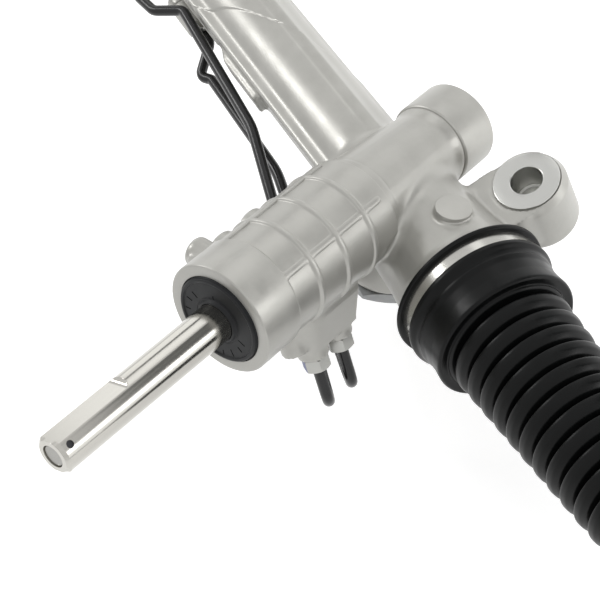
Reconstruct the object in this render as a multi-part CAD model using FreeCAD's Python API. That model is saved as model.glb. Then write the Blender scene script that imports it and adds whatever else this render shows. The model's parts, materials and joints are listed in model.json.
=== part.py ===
"""Hydraulic rack-and-pinion steering gear: cast housing, rack, leaning pinion with rotary valve,
rack guide, transfer pipes, bellows and inner tie rods.

Working frame: X along the rack towards the pinion-side bellows, Z along the mounting bores (up),
Y towards the mounting bores. The rack axis is y = z = 0 and the pinion crosses it at x = 0.
Every solid is moved at the end so that the origin is the pinion-side mounting bore's top face.
"""
import FreeCAD, Part
import math
import os

from FreeCAD import Matrix, Vector

OVERLAP = 1.0                   # how far a cutter or a buried root reaches past a face

# Rack travel and rack bar
RACK_TRAVEL = 75.0              # each way from straight ahead
RACK_DIAMETER = 27.0
RACK_RUNNING_FIT = 0.06         # radial, rack in its bush, seals and guide
TOOTH_END_MARGIN = 14.0         # toothed length past the mesh at full lock
SOCKET_BORE_CLEARANCE = 2.0     # past the end of the socket's stud

# Pinion and its mesh
PINION_LEAN = 23.85             # degrees from square to the rack, towards +X
PINION_RISE = 25.57             # degrees above the mounting plane
CENTRE_DISTANCE = 18.5          # rack axis to pinion axis
PINION_TEETH = 8
MODULE = 2.1
PRESSURE_ANGLE = 20.0
PINION_ADDENDUM = 1.65
RACK_ADDENDUM = 1.6
TOOTH_ROOT_CLEARANCE = 0.45
BACKLASH = 0.24                 # across the flanks, at the pitch line
PINION_FACE_WIDTH = 34.0
ROLL_STEPS = 7                  # positions of the rack tooth that cut one pinion gap
ROLL_SHARE = 1.5                # of half a tooth's turn, rolled each way
CUTTER_OVERRUN = 4.0            # of the gap cutter past each end of the face
CUTTER_HEIGHT = 2.0             # of the gap cutter past the tooth tips
GROOVE_HEIGHT = 6.0             # of the rack's groove cutter past the tooth tips
PINION_CHAMFER = 1.5
PINION_ROOT_RELIEF = 0.3        # core under the teeth's roots

# Valve housing along the pinion axis; stations count from the mesh towards the steering column
FRONT_STATION = 135.0
FRONT_DIAMETER = 56.4
FRONT_STEP_STATION = 112.3
BARREL_DIAMETER = 53.8
BARREL_END_STATION = 38.3
RIB_STATIONS = (94.9, 75.4, 55.4)
RIB_DIAMETER = 56.6
RIB_WIDTH = 1.0                 # along its crest
RIB_FOOT = 0.8                  # run of each sloping side
LONG_RIB_ANGLE = -39.8          # about the pinion axis, from square to the rack
LONG_RIB_END_STATION = 42.4
LONG_RIB_WIDTH = 4.6
LONG_RIB_DRAFT = 0.8            # run of each side, crown to foot
LONG_RIB_SINK = 2.0
LONG_RIB_BELOW_RINGS = 0.1
NECK_DIAMETER = 41.0
NECK_FLARE = 7.0
NECK_SHOULDER = 4.2             # height of the shoulder up to the barrel
NECK_SHOULDER_RUN = 1.2
CAP_STATION = -25.5
CAP_DIAMETER = 44.8
CAP_END_STATION = -49.2
CAP_EDGE_RADIUS = 2.0
CAP_STEP = 0.8
CAP_STEP_RUN = 1.0
FRONT_EDGE_RADIUS = 1.4
FRONT_STEP_RUN = 0.7
VALVE_BORE_DIAMETER = 40.0
VALVE_BORE_STATION = 34.0
SEAL_POCKET_DIAMETER = 45.0
SEAL_POCKET_DEPTH = 11.0
SEAL_RECESS = 1.6

# Rack housing around the rack axis
HOUSING_END_X = 84.0
FAR_HEAD_LENGTH = 36.0          # cylinder's far end to the housing's far end
FAR_MOUNT_REACH = 68.7          # at least, from the far mounting bore to the far end
BOOT_SEAT_DIAMETER = 68.0
BOOT_SEAT_LENGTH = 14.6
BARREL_X = 20.0
BARREL_RADIUS = 29.0
BARREL_TAPER = 3.0
BARREL_FLARE = 8.0              # run from the tube up to the barrel
SEAT_RADIUS_AT_BUTTON = 30.6
BELL_DIAMETER = 56.0
BELL_FLOOR_X = 51.0
RACK_TUNNEL_DIAMETER = 30.0
TUBE_DIAMETER = 44.6
CYLINDER_DIAMETER = 37.0
FAR_SEAT_DIAMETER = 60.0
FAR_SEAT_LENGTH = 14.6
FAR_RIDGE_WIDTH = 3.0
FAR_SEAT_FLARE = 11.0
SEAT_RIDGE = 0.8                # stop ridge behind each bellows seat
SEAT_RIDGE_WIDTH = 2.0
SEAT_RIDGE_RUN = 4.0
SEAT_NECK = 1.0

# Tube section: flange on the left, rail on the right; the wide section ends at SECTION_END_X
SECTION_END_X = -216.0
SECTION_ROOT_Y = -8.0
FLANGE_EDGE_Y = -23.8
FLANGE_CHAMFER = 1.2
FLANGE_TOP_Z = 14.8
FLANGE_BOTTOM_Z = -5.0
RAIL_EDGE_Y = 23.2
RAIL_INNER_Y = 7.4
RAIL_RIDGE_Y = 13.3
RAIL_TOP_Z = 22.4
RAIL_RIDGE_Z = 20.6
RAIL_SIDE_Z = 3.0
RAIL_BOTTOM_Z = -9.0
PAD_START_X = -149.5
PAD_END_X = -101.5
PAD_EDGE_Y = -28.0
PAD_TOP_Z = 10.5
PAD_THICKNESS = 13.0
PAD_SLOPE = 12.0

# Mounting bosses
MOUNT_X = 43.7
MOUNT_Y = 52.6
MOUNT_FACE_Z = 10.35
MOUNT_SPACING = 360.0
MOUNT_RING_DIAMETER = 32.8
MOUNT_RING_HEIGHT = 1.3
MOUNT_BOSS_DIAMETER = 38.4
MOUNT_BOSS_LENGTH = 33.0
MOUNT_BORE_DIAMETER = 15.4
MOUNT_BORE_DEPTH = 15.0
MOUNT_BOLT_DIAMETER = 12.6
ARM_THICKNESS = 24.0
ARM_HALF_WIDTH = 17.6
ARM_LEAN = 2.0                  # of the pinion side's arm, root to boss
BOSS_EDGE_RADIUS = 3.0

# Rack guide tower, square to the pinion on the far side of the rack
GUIDE_TOWER_DIAMETER = 48.0
GUIDE_TOWER_LENGTH = 46.0
TOWER_EDGE_RADIUS = 4.0
GUIDE_DIAMETER = 36.0
GUIDE_RUNNING_FIT = 0.08
GUIDE_LENGTH = 17.0
LINER_THICKNESS = 1.5
LINER_ARC = 120.0               # degrees of the rack's back that the liner holds
LINER_LENGTH = 25.2
GUIDE_TOP_HEIGHT = 5.4          # rack axis to the yoke's horns
SPRING_POCKET_CLEARANCE = 2.0
GUIDE_SPRING_SPACE = 6.0
GUIDE_PLUG_LENGTH = 12.0
PLUG_HEX_ACROSS_FLATS = 18.0
PLUG_HEX_DEPTH = 6.0
SPRING_WIRE = 2.6
SPRING_MEAN_DIAMETER = 18.0
SPRING_TURNS = 2.0
LOCK_NUT_ACROSS_FLATS = 44.0
LOCK_NUT_THICKNESS = 6.0

# Button boss over the rack
BUTTON_X = 47.8
BUTTON_TOP = 34.2               # from the rack axis, square to the pinion
BUTTON_DIAMETER = 17.5

# Ports
LINE_PORT_ANGLE = -156.6        # the two cylinder lines, about the pinion axis
LINE_PORT_STATIONS = (88.5, 70.5)
LINE_PORT_REACH = 50.5          # pinion axis to the port face
LINE_PORT_DIAMETER = 15.6
LINE_WEB_SET_BACK = 5.0         # web's foot behind the port faces
LINE_WEB_ROOT_REACH = 10.0      # the web widens towards the barrel, down to this reach
LINE_WEB_ROOT_WIDTH = 45.0
LINE_PORT_LUG_STATION = 99.0
LINE_PORT_LUG_REACH = 42.0
LINE_PORT_LUG_DIAMETER = 13.0
HOSE_PORT_ANGLE = 108.0
HOSE_PORT_STATIONS = (93.0, 72.0)
HOSE_PORT_REACH = 35.0
HOSE_PORT_DIAMETER = 22.0
HOSE_THREAD_RADIUS = 7.0
HOSE_THREAD_DEPTH = 12.0
PORT_DRILL_DIAMETER = 7.0
LUG_STATION = 108.5
LUG_ANGLE = 91.0
LUG_REACH = 39.0
LUG_DIAMETER = 15.0
LUG_EDGE_RADIUS = 3.0
LUG_GUSSET_WIDTH = 8.0
LUG_GUSSET_START = 111.5
LUG_GUSSET_END = 127.0
LUG_GUSSET_SET_BACK = 1.5
TUBE_PORT_DIAMETER = 13.0
TUBE_PORT_Y = -25.8
TUBE_PORT_Z = -14.0
NEAR_PORT_MOUTH_X = -194.0
FAR_PORT_SET_BACK = 11.0        # far port's mouth inboard of the cylinder's end
TUBE_PORT_LENGTH = 30.0
TUBE_PORT_WEB_SET_BACK = 4.0
TUBE_PORT_WEB_HEIGHT = 10.4
TUBE_PORT_DRILL = 6.0           # drilling past the pipe's end

# Pipes and their nuts
PIPE_DIAMETER = 6.0
PIPE_RETURN_RADIUS = 10.0
PIPE_DROP = 41.0                # port face to the corner of the return bend
PIPE_LEAD = 14.0                # straight lead out of a tube port
NUT_ACROSS_FLATS = 12.0
NUT_LENGTH = 7.0
PIPE_SINK = 3.0                 # pipe end past the port face, in the nut's seat
NEAR_PIPE_CORNERS = ((-75.0, -39.0, -18.0), (-160.5, -37.4, -20.0), (-168.0, -41.6, -20.0))
NEAR_PIPE_RADII = (40.0, 5.0, 4.5, 6.0)
FAR_PIPE_BENDS = ((-95.0, -36.6, 0.0), (-193.4, -28.6, 5.0), (-207.0, -42.0, 5.0), (-222.0, -44.0, 5.0))
FAR_PIPE_SET_BACK = 38.0        # last bend inboard of the far port's mouth
FAR_PIPE_LAST_Y = -44.0
FAR_PIPE_LAST_Z = -3.0
FAR_PIPE_RADII = (40.0, 6.0, 8.0, 12.0, 12.0, 12.0)

# Input shaft, torsion bar and seal
SHAFT_DIAMETER = 19.0
SHAFT_REACH = 103.9             # front face to the shaft's end
SHAFT_CHAMFER = 1.6
SPOOL_DIAMETER = 20.0           # inner end, from the valve through the seal
SPOOL_SET_BACK = 2.0            # spool's end behind the sleeve's end
SHOULDER_PAST_FRONT = 1.0       # the shoulder between both, outside the seal
SHOULDER_RUN = 0.5
FLAT_LENGTH = 41.2
FLAT_DEPTH = 1.35
FLAT_ANGLE = 56.0               # flats' normal, about the pinion axis
FLAT_RUNOUT = 3.5
TORSION_BAR_DIAMETER = 11.0
TORSION_WAIST_DIAMETER = 7.4
TORSION_BAR_FIT = 0.05
TORSION_BAR_SEAT_FIT = 0.01     # radial, pinned end in the input shaft
TORSION_BAR_SET_BACK = 0.5
TORSION_FOOT_GAP = 2.0          # bar's foot above the upper bearing's start
TORSION_FOOT_LENGTH = 16.0
TORSION_HEAD_LENGTH = 28.0
TORSION_TAPER = 6.0
TORSION_CHAMFER = 0.6
PIN_DIAMETER = 3.5
PIN_FROM_FRONT = 98.9
PIN_ANGLE = -35.0
PIN_SET_BACK = 0.8
SEAL_BORE_COLLAR_DIAMETER = 24.0
SEAL_THICKNESS = 7.0
SEAL_RIM_DIAMETER = 41.0
SEAL_RIM_WIDTH = 2.0
SEAL_RIM_HEIGHT = 0.9
SEAL_FLANK_HEIGHT = 2.4         # rim's outer flank, down to the pocket's wall
SEAL_COLLAR_HEIGHT = 0.5
SEAL_EASE = 0.6
SEAL_RUNNING_FIT = 0.08

# Bearings on the pinion
INPUT_BEARING_STATION = 110.0
INPUT_BEARING_WIDTH = 10.0
UPPER_BEARING_STATION = 21.0
UPPER_BEARING_WIDTH = 11.0
UPPER_JOURNAL_DIAMETER = 17.0
LOWER_BEARING_STATION = -36.0
LOWER_BEARING_WIDTH = 12.0
LOWER_JOURNAL_DIAMETER = 12.0
LOWER_BEARING_DIAMETER = 32.0
BEARING_BORE_DIAMETER = 34.0
JOURNAL_FIT = 0.05
PINION_NUT_ACROSS_FLATS = 17.0
PINION_NUT_THICKNESS = 5.0
PINION_NUT_GAP = 0.4            # between the nut and the bearing
END_PLUG_THICKNESS = 3.0
END_PLUG_SET_IN = 1.0
END_PLUG_DEPTH = 5.0
BEARING_CHANNEL_SHARE = 0.84    # shielded channel's width over the ring wall's
BEARING_CHANNEL_DEPTH = 0.8
LOWER_STEP = 2.0                # pinion's core past its teeth

# Rotary valve sleeve
SLEEVE_START_STATION = 46.0
SLEEVE_END_STATION = 104.0
SLEEVE_DIAMETER = 38.4
SLEEVE_RING_WIDTH = 1.8
SLEEVE_RING_DEPTH = 1.2
SLEEVE_RING_PITCH = 13.5
SLEEVE_RING_COUNT = 4
SLEEVE_RING_FIT = 0.06
SPOOL_FIT = 0.06
SLEEVE_HOLE_DIAMETER = 3.0
HUB_LENGTH = 8.0                # pinion's hub inside the sleeve
HUB_WALL = 5.0                  # sleeve's wall round the hub
COLLAR_WIDTH = 4.0              # pinion's collar under the sleeve
COLLAR_SET_BACK = 2.0

# Power cylinder
PISTON_WIDTH = 12.0
PISTON_FIT = 0.08
PISTON_RING_WIDTH = 3.0
PISTON_RING_DEPTH = 2.5
CYLINDER_START_X = -177.0
CYLINDER_SPARE = 10.0           # cylinder's length past the stroke and the piston
SEAL_WIDTH = 7.0
BUSH_WIDTH = 14.0
END_STOP_RECESS = 1.0

# Inner tie rods
STOP_GAP = 1.5                  # left between socket and stop at full lock
SOCKET_DIAMETER = 37.0
SOCKET_LENGTH = 36.0
SOCKET_FLAT_LENGTH = 9.0
SOCKET_FLAT_WIDTH = 32.0
SOCKET_STUD_DIAMETER = 14.0
SOCKET_STUD_LENGTH = 22.0
SOCKET_STEP = 2.2               # waist at the flats, and its slope
SOCKET_CHAMFER = 0.8
SOCKET_NOSE_LENGTH = 9.0        # coned, rolled-over end
SOCKET_MOUTH_SHARE = 0.86       # of the ball's diameter
SOCKET_MOUTH_WALL = 1.0
SOCKET_MOUTH_FLARE = 2.0
SOCKET_MOUTH_INSET = 3.0
SEAT_MOUTH_SHARE = 0.30         # seat's opening over the ball's diameter, from its centre
BALL_DIAMETER = 25.0
BALL_FIT = 0.06
SEAT_WALL = 1.8
BALL_FROM_FACE = 21.0
TIE_ROD_DIAMETER = 15.0
TIE_ROD_NECK_DIAMETER = 13.0
TIE_ROD_LENGTH = 290.0
TIE_ROD_THREAD_DIAMETER = 14.0
TIE_ROD_THREAD_LENGTH = 72.0
THREAD_PITCH_DIAMETER = 13.0    # thread and nut meet here along the nut
THREAD_CHAMFER = 1.5
THREAD_TAPER = 3.0
NECK_LENGTH = 26.0              # from the ball's centre
NECK_TAPER = 8.0
GRIP_WIDTH = 12.4               # across the grip flats
GRIP_LENGTH = 12.0
GRIP_SET_BACK = 24.0            # flats' start before the thread
JAM_NUT_ACROSS_FLATS = 22.0
JAM_NUT_THICKNESS = 10.0
JAM_NUT_FROM_END = 46.0

# Bellows
BOOT_WALL = 1.8
BOOT_SEAT_FIT = 0.02            # radial, cuff on its seat
BOOT_LIP_HEIGHT = 5.5           # above the seat, as the heights below
BOOT_LIP_WIDTH = 2.4
BOOT_LIP_EDGE = 0.8
BOOT_BAND_HEIGHT = 2.7
BAND_THICKNESS = 0.7
BAND_WIDTH = 7.0
BAND_GROOVE_WIDTH = 7.6
SECOND_LIP_HEIGHT = 4.3
SECOND_LIP_WIDTH = 3.6
SECOND_LIP_EDGE = 1.0
COLLAR_SHOULDER = 2.0
COLLAR_WALL = 3.0
COLLAR_WAIST_HEIGHT = 1.0
COLLAR_EDGE_HEIGHT = 2.2
COLLAR_LENGTH = 20.6
CREST_DIAMETER = 62.0
CREST_DIAMETER_END = 50.0
CREST_FLAT = 1.6
ROOT_DEPTH = 6.0
FIRST_CREST_GAP = 8.0           # collar's edge to the first crest
CONVOLUTIONS = 12
BOOT_SMALL_END_LENGTH = 14.0
BOOT_END_WALL = 2.6
BOOT_END_FLARE = 4.0
BOOT_END_BEAD = 3.6
BOOT_END_BEAD_WIDTH = 2.0
BOOT_END_BEAD_RUN = 1.0
BOOT_FROM_BALL = 96.0           # ball centre to the bellows' small end
CLIP_WIDTH = 5.0
CLIP_THICKNESS = 1.6
CLIP_GAP = 1.0                  # between the clip and the end bead
TANG_REACH = 5.0
TANG_SPACING = 4.8
BAND_EAR_WIDTH = 9.0
BAND_EAR_HEIGHT = 4.2
BAND_EAR_ANGLE = 205.0          # about the rack axis, from straight up
BAND_EAR_WALL = 1.4
BAND_EAR_GAP = 0.4

# Values worked out from the ones above
lean = math.radians(PINION_LEAN)
rise = math.radians(PINION_RISE)
PINION_AXIS = Vector(math.sin(lean), -math.cos(lean) * math.cos(rise), math.cos(lean) * math.sin(rise))
PINION_NORMAL = Vector(0, math.sin(rise), math.cos(rise))
PINION_SIDE = PINION_AXIS.cross(PINION_NORMAL)
PINION_CENTRE = PINION_NORMAL * CENTRE_DISTANCE
PITCH_RADIUS = MODULE * PINION_TEETH / 2
RACK_PITCH_HEIGHT = CENTRE_DISTANCE - PITCH_RADIUS
SHAFT_END_STATION = FRONT_STATION + SHAFT_REACH
RACK_RADIUS = RACK_DIAMETER / 2
SOCKET_FACE_X = BELL_FLOOR_X + RACK_TRAVEL + STOP_GAP
CYLINDER_END_X = CYLINDER_START_X - 2 * RACK_TRAVEL - PISTON_WIDTH - CYLINDER_SPARE
FAR_END_X = min(CYLINDER_END_X - FAR_HEAD_LENGTH, MOUNT_X - MOUNT_SPACING - FAR_MOUNT_REACH)
FAR_PORT_MOUTH_X = CYLINDER_END_X + FAR_PORT_SET_BACK
FAR_PIPE_LAST_BEND = (FAR_PORT_MOUTH_X + FAR_PIPE_SET_BACK, FAR_PIPE_LAST_Y, FAR_PIPE_LAST_Z)
FAR_PIPE_CORNERS = FAR_PIPE_BENDS + (FAR_PIPE_LAST_BEND,)
FAR_SOCKET_FACE_X = FAR_END_X - RACK_TRAVEL - STOP_GAP
BALL_X = SOCKET_FACE_X + BALL_FROM_FACE
FAR_BALL_X = FAR_SOCKET_FACE_X - BALL_FROM_FACE
PISTON_X = (CYLINDER_START_X + CYLINDER_END_X) / 2
ORIGIN = Vector(MOUNT_X, MOUNT_Y, MOUNT_FACE_Z)


def frame(origin, z_axis, x_axis):
    """Placement that puts local Z on z_axis and local X on x_axis, at origin."""
    y_axis = z_axis.cross(x_axis)
    return FreeCAD.Placement(Matrix(
        x_axis.x, y_axis.x, z_axis.x, origin.x,
        x_axis.y, y_axis.y, z_axis.y, origin.y,
        x_axis.z, y_axis.z, z_axis.z, origin.z,
        0, 0, 0, 1))


PINION_FRAME = frame(PINION_CENTRE, PINION_AXIS, PINION_NORMAL)
RACK_FRAME = frame(Vector(0, 0, 0), Vector(1, 0, 0), Vector(0, 0, 1))
GUIDE_FRAME = frame(Vector(0, 0, 0), -PINION_NORMAL, Vector(1, 0, 0))


def side_frame(face_x, outward):
    """Frame on the rack axis at face_x whose Z points outward, +1 or -1 along X."""
    return frame(Vector(face_x, 0, 0), Vector(outward, 0, 0), Vector(0, 0, 1))


def place(shape, placement):
    moved = shape.copy()
    moved.Placement = placement.multiply(moved.Placement)
    return moved


def turned(profile, placement=FreeCAD.Placement()):
    """Solid of revolution about local Z from a list of (station, radius) along its outline."""
    points = [Vector(radius, 0, station) for station, radius in profile]
    if points[0].x > 0 and profile[0] != profile[-1] and points[-1].x > 0:
        points = [Vector(0, 0, points[0].z)] + points + [Vector(0, 0, points[-1].z)]
    if points[0] != points[-1]:
        points.append(points[0])
    face = Part.Face(Part.makePolygon(points))
    return place(face.revolve(Vector(0, 0, 0), Vector(0, 0, 1), 360), placement)


def ring(start, end, inner, outer, placement=FreeCAD.Placement()):
    """Plain ring between two stations, from its inner and outer diameters."""
    profile = [(start, inner / 2), (start, outer / 2), (end, outer / 2), (end, inner / 2),
               (start, inner / 2)]
    return turned(profile, placement)


def rod(start, end, diameter, placement=FreeCAD.Placement()):
    return place(Part.makeCylinder(diameter / 2, end - start, Vector(0, 0, start)), placement)


def polar(station, angle, radius):
    """Point in a turned part's own frame."""
    turn = math.radians(angle)
    return Vector(radius * math.cos(turn), radius * math.sin(turn), station)


def hexagon(across_flats, start, end, placement=FreeCAD.Placement()):
    """Hexagonal prism with its corners turned off by a 30-degree cone at both ends."""
    corner = across_flats / math.sqrt(3)
    points = [Vector(corner * math.cos(k * math.pi / 3), corner * math.sin(k * math.pi / 3), start)
              for k in range(7)]
    prism = Part.Face(Part.makePolygon(points)).extrude(Vector(0, 0, end - start))
    relief = (corner - across_flats / 2) * math.tan(math.radians(30))
    envelope = turned([(start, across_flats / 2), (start + relief, corner),
                       (end - relief, corner), (end, across_flats / 2)])
    return place(prism.common(envelope), placement)


def radial_rod(station, angle, start, end, diameter):
    """Round bar square to the pinion axis, in the pinion's own frame."""
    direction = polar(0, angle, 1)
    return Part.makeCylinder(diameter / 2, end - start, polar(station, angle, start), direction)


def rounded_path(corners, radii):
    """Wire of straight runs joined by tangent arcs, one radius for each inner corner."""
    edges = []
    start = corners[0]
    for before, corner, after, radius in zip(corners, corners[1:], corners[2:], radii):
        back = (before - corner).normalize()
        ahead = (after - corner).normalize()
        half = back.getAngle(ahead) / 2
        reach = radius / math.tan(half)
        middle = (back + ahead).normalize() * (radius / math.sin(half) - radius)
        enter = corner + back * reach
        leave = corner + ahead * reach
        edges.append(Part.LineSegment(start, enter).toShape())
        edges.append(Part.Arc(enter, corner + middle, leave).toShape())
        start = leave
    edges.append(Part.LineSegment(start, corners[-1]).toShape())
    return Part.Wire(edges)


def swept(path, diameter):
    start = path.Vertexes[0].Point
    direction = (path.Edges[0].Vertexes[-1].Point - start).normalize()
    profile = Part.Wire(Part.makeCircle(diameter / 2, start, direction))
    return path.makePipeShell([profile], True, False)


def extruded_x(points, start, end):
    """Prism along X of an outline in Y and Z."""
    outline = Part.makePolygon([Vector(start, y, z) for y, z in points + points[:1]])
    return Part.Face(outline).extrude(Vector(end - start, 0, 0))


def rounded_edges(shape, radius, wanted):
    """Fillets the edges that wanted() picks."""
    return shape.makeFillet(radius, [edge for edge in shape.Edges if wanted(edge)])


def circle_at(station, radius):
    """Picks the circular edge at a station of a turned part."""
    def test(edge):
        if edge.Curve.TypeId != "Part::GeomCircle":
            return False
        return (abs(edge.Curve.Center.z - station) < 0.01
                and abs(edge.Curve.Radius - radius) < 0.01)
    return test


# Cast housing

def valve_housing():
    """Outer form of the valve housing, its neck and its closed end."""
    profile = [(CAP_END_STATION, CAP_DIAMETER / 2),
               (CAP_STATION, CAP_DIAMETER / 2),
               (CAP_STATION + CAP_STEP_RUN, CAP_DIAMETER / 2 - CAP_STEP),
               (CAP_STATION + NECK_FLARE, NECK_DIAMETER / 2),
               (BARREL_END_STATION - NECK_SHOULDER_RUN, NECK_DIAMETER / 2 + NECK_SHOULDER),
               (BARREL_END_STATION, BARREL_DIAMETER / 2)]
    for station in sorted(RIB_STATIONS):
        profile += [(station - RIB_WIDTH / 2 - RIB_FOOT, BARREL_DIAMETER / 2),
                    (station - RIB_WIDTH / 2, RIB_DIAMETER / 2),
                    (station + RIB_WIDTH / 2, RIB_DIAMETER / 2),
                    (station + RIB_WIDTH / 2 + RIB_FOOT, BARREL_DIAMETER / 2)]
    profile += [(FRONT_STEP_STATION - FRONT_STEP_RUN, BARREL_DIAMETER / 2),
                (FRONT_STEP_STATION, FRONT_DIAMETER / 2),
                (FRONT_STATION, FRONT_DIAMETER / 2)]
    body = turned(profile)
    body = rounded_edges(body, CAP_EDGE_RADIUS, circle_at(CAP_END_STATION, CAP_DIAMETER / 2))
    body = rounded_edges(body, FRONT_EDGE_RADIUS, circle_at(FRONT_STATION, FRONT_DIAMETER / 2))
    return body


def long_rib():
    """Longitudinal rib along the valve housing, as high as the ring ribs."""
    half = LONG_RIB_WIDTH / 2
    base = BARREL_DIAMETER / 2 - LONG_RIB_SINK
    crown = RIB_DIAMETER / 2 - LONG_RIB_BELOW_RINGS
    points = [Vector(base, -half - LONG_RIB_DRAFT, LONG_RIB_END_STATION),
              Vector(crown, -half + LONG_RIB_DRAFT, LONG_RIB_END_STATION),
              Vector(crown, half - LONG_RIB_DRAFT, LONG_RIB_END_STATION),
              Vector(base, half + LONG_RIB_DRAFT, LONG_RIB_END_STATION)]
    outline = Part.makePolygon(points + points[:1])
    rib = Part.Face(outline).extrude(Vector(0, 0, FRONT_STEP_STATION - LONG_RIB_END_STATION))
    rib.rotate(Vector(0, 0, 0), Vector(0, 0, 1), LONG_RIB_ANGLE)
    return rib


def line_port_block():
    """Bosses of the two line ports, the web that widens from them to the barrel, and a lug beside them."""
    pieces = [radial_rod(station, LINE_PORT_ANGLE, 0, LINE_PORT_REACH, LINE_PORT_DIAMETER)
              for station in LINE_PORT_STATIONS]
    first, last = min(LINE_PORT_STATIONS), max(LINE_PORT_STATIONS)
    foot_reach = LINE_PORT_REACH - LINE_WEB_SET_BACK
    start = first - LINE_PORT_DIAMETER / 2
    points = [Vector(LINE_WEB_ROOT_REACH, -LINE_WEB_ROOT_WIDTH / 2, start),
              Vector(foot_reach, -LINE_PORT_DIAMETER / 2, start),
              Vector(foot_reach, LINE_PORT_DIAMETER / 2, start),
              Vector(LINE_WEB_ROOT_REACH, LINE_WEB_ROOT_WIDTH / 2, start)]
    web = Part.Face(Part.makePolygon(points + points[:1])).extrude(Vector(0, 0, last - start))
    web.rotate(Vector(0, 0, 0), Vector(0, 0, 1), LINE_PORT_ANGLE)
    pieces.append(web)
    pieces.append(Part.makeCone(LINE_WEB_ROOT_WIDTH / 2, LINE_PORT_DIAMETER / 2,
                                foot_reach - LINE_WEB_ROOT_REACH,
                                polar(last, LINE_PORT_ANGLE, LINE_WEB_ROOT_REACH),
                                polar(0, LINE_PORT_ANGLE, 1)))
    pieces.append(radial_rod(LINE_PORT_LUG_STATION, LINE_PORT_ANGLE, 0, LINE_PORT_LUG_REACH,
                             LINE_PORT_LUG_DIAMETER))
    return pieces


def hose_port_bosses():
    """Bosses for the supply and return hoses."""
    return [radial_rod(station, HOSE_PORT_ANGLE, 0, HOSE_PORT_REACH, HOSE_PORT_DIAMETER)
            for station in HOSE_PORT_STATIONS]


def side_lug():
    """Round-topped lug beside the hose ports, with the gusset that runs down from it to the front rim."""
    lug = radial_rod(LUG_STATION, LUG_ANGLE, 0, LUG_REACH, LUG_DIAMETER)
    top = polar(LUG_STATION, LUG_ANGLE, LUG_REACH)
    lug = rounded_edges(lug, LUG_EDGE_RADIUS, lambda edge: edge.CenterOfMass.distanceToPoint(top) < OVERLAP)
    root = VALVE_BORE_DIAMETER / 2
    half = LUG_GUSSET_WIDTH / 2
    ridge = LUG_REACH - LUG_GUSSET_SET_BACK
    points = [Vector(root, -half, LUG_STATION), Vector(ridge, -half, LUG_STATION),
              Vector(ridge, -half, LUG_GUSSET_START), Vector(FRONT_DIAMETER / 2, -half, LUG_GUSSET_END),
              Vector(root, -half, LUG_GUSSET_END)]
    gusset = Part.Face(Part.makePolygon(points + points[:1])).extrude(Vector(0, LUG_GUSSET_WIDTH, 0))
    gusset.rotate(Vector(0, 0, 0), Vector(0, 0, 1), LUG_ANGLE)
    return [lug, gusset]


def rack_barrel():
    """Round housing about the rack axis, from under the pinion to the bellows seat."""
    seat = BOOT_SEAT_DIAMETER / 2
    seat_start = HOUSING_END_X - BOOT_SEAT_LENGTH
    profile = [(-BARREL_X - BARREL_FLARE, TUBE_DIAMETER / 2),
               (-BARREL_X, BARREL_RADIUS - BARREL_TAPER),
               (BARREL_X, BARREL_RADIUS),
               (BUTTON_X, SEAT_RADIUS_AT_BUTTON),
               (seat_start - SEAT_RIDGE_WIDTH - SEAT_RIDGE_RUN, seat - SEAT_NECK),
               (seat_start - SEAT_RIDGE_WIDTH, seat + SEAT_RIDGE),
               (seat_start, seat + SEAT_RIDGE),
               (seat_start, seat),
               (HOUSING_END_X, seat)]
    return turned(profile, RACK_FRAME)


def tube():
    """Power-cylinder tube with its left flange, right rail and clamping pad."""
    body = rod(FAR_END_X, -BARREL_X, TUBE_DIAMETER, RACK_FRAME)
    flange = extruded_x([(SECTION_ROOT_Y, FLANGE_BOTTOM_Z), (SECTION_ROOT_Y, FLANGE_TOP_Z),
                         (FLANGE_EDGE_Y + FLANGE_CHAMFER, FLANGE_TOP_Z),
                         (FLANGE_EDGE_Y, FLANGE_TOP_Z - FLANGE_CHAMFER),
                         (FLANGE_EDGE_Y, FLANGE_BOTTOM_Z)], SECTION_END_X, 0)
    rail = extruded_x([(RAIL_INNER_Y, 0), (RAIL_INNER_Y, RAIL_TOP_Z), (RAIL_RIDGE_Y, RAIL_RIDGE_Z),
                       (RAIL_EDGE_Y, RAIL_SIDE_Z), (RAIL_EDGE_Y, RAIL_BOTTOM_Z),
                       (RAIL_RIDGE_Y, RAIL_BOTTOM_Z)], SECTION_END_X, 0)
    pad_points = [Vector(PAD_END_X, SECTION_ROOT_Y, 0), Vector(PAD_END_X, PAD_EDGE_Y, 0),
                  Vector(PAD_START_X + PAD_SLOPE, PAD_EDGE_Y, 0),
                  Vector(PAD_START_X, FLANGE_EDGE_Y, 0), Vector(PAD_START_X, SECTION_ROOT_Y, 0)]
    pad = Part.Face(Part.makePolygon(pad_points + pad_points[:1])).extrude(Vector(0, 0, PAD_THICKNESS))
    pad.translate(Vector(0, 0, PAD_TOP_Z - PAD_THICKNESS))
    return [body, flange, rail, pad]


def tube_port(mouth_x):
    """Boss along the tube that takes a pipe end, with the web that joins it to the tube."""
    placement = frame(Vector(mouth_x, TUBE_PORT_Y, TUBE_PORT_Z), Vector(-1, 0, 0), Vector(0, 0, 1))
    boss = rod(0, TUBE_PORT_LENGTH, TUBE_PORT_DIAMETER, placement)
    web = Part.makeBox(TUBE_PORT_LENGTH - TUBE_PORT_WEB_SET_BACK, -TUBE_PORT_Y, TUBE_PORT_WEB_HEIGHT,
                       Vector(mouth_x - TUBE_PORT_LENGTH, TUBE_PORT_Y,
                              TUBE_PORT_Z - TUBE_PORT_WEB_HEIGHT / 2))
    return [boss, web]


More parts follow.
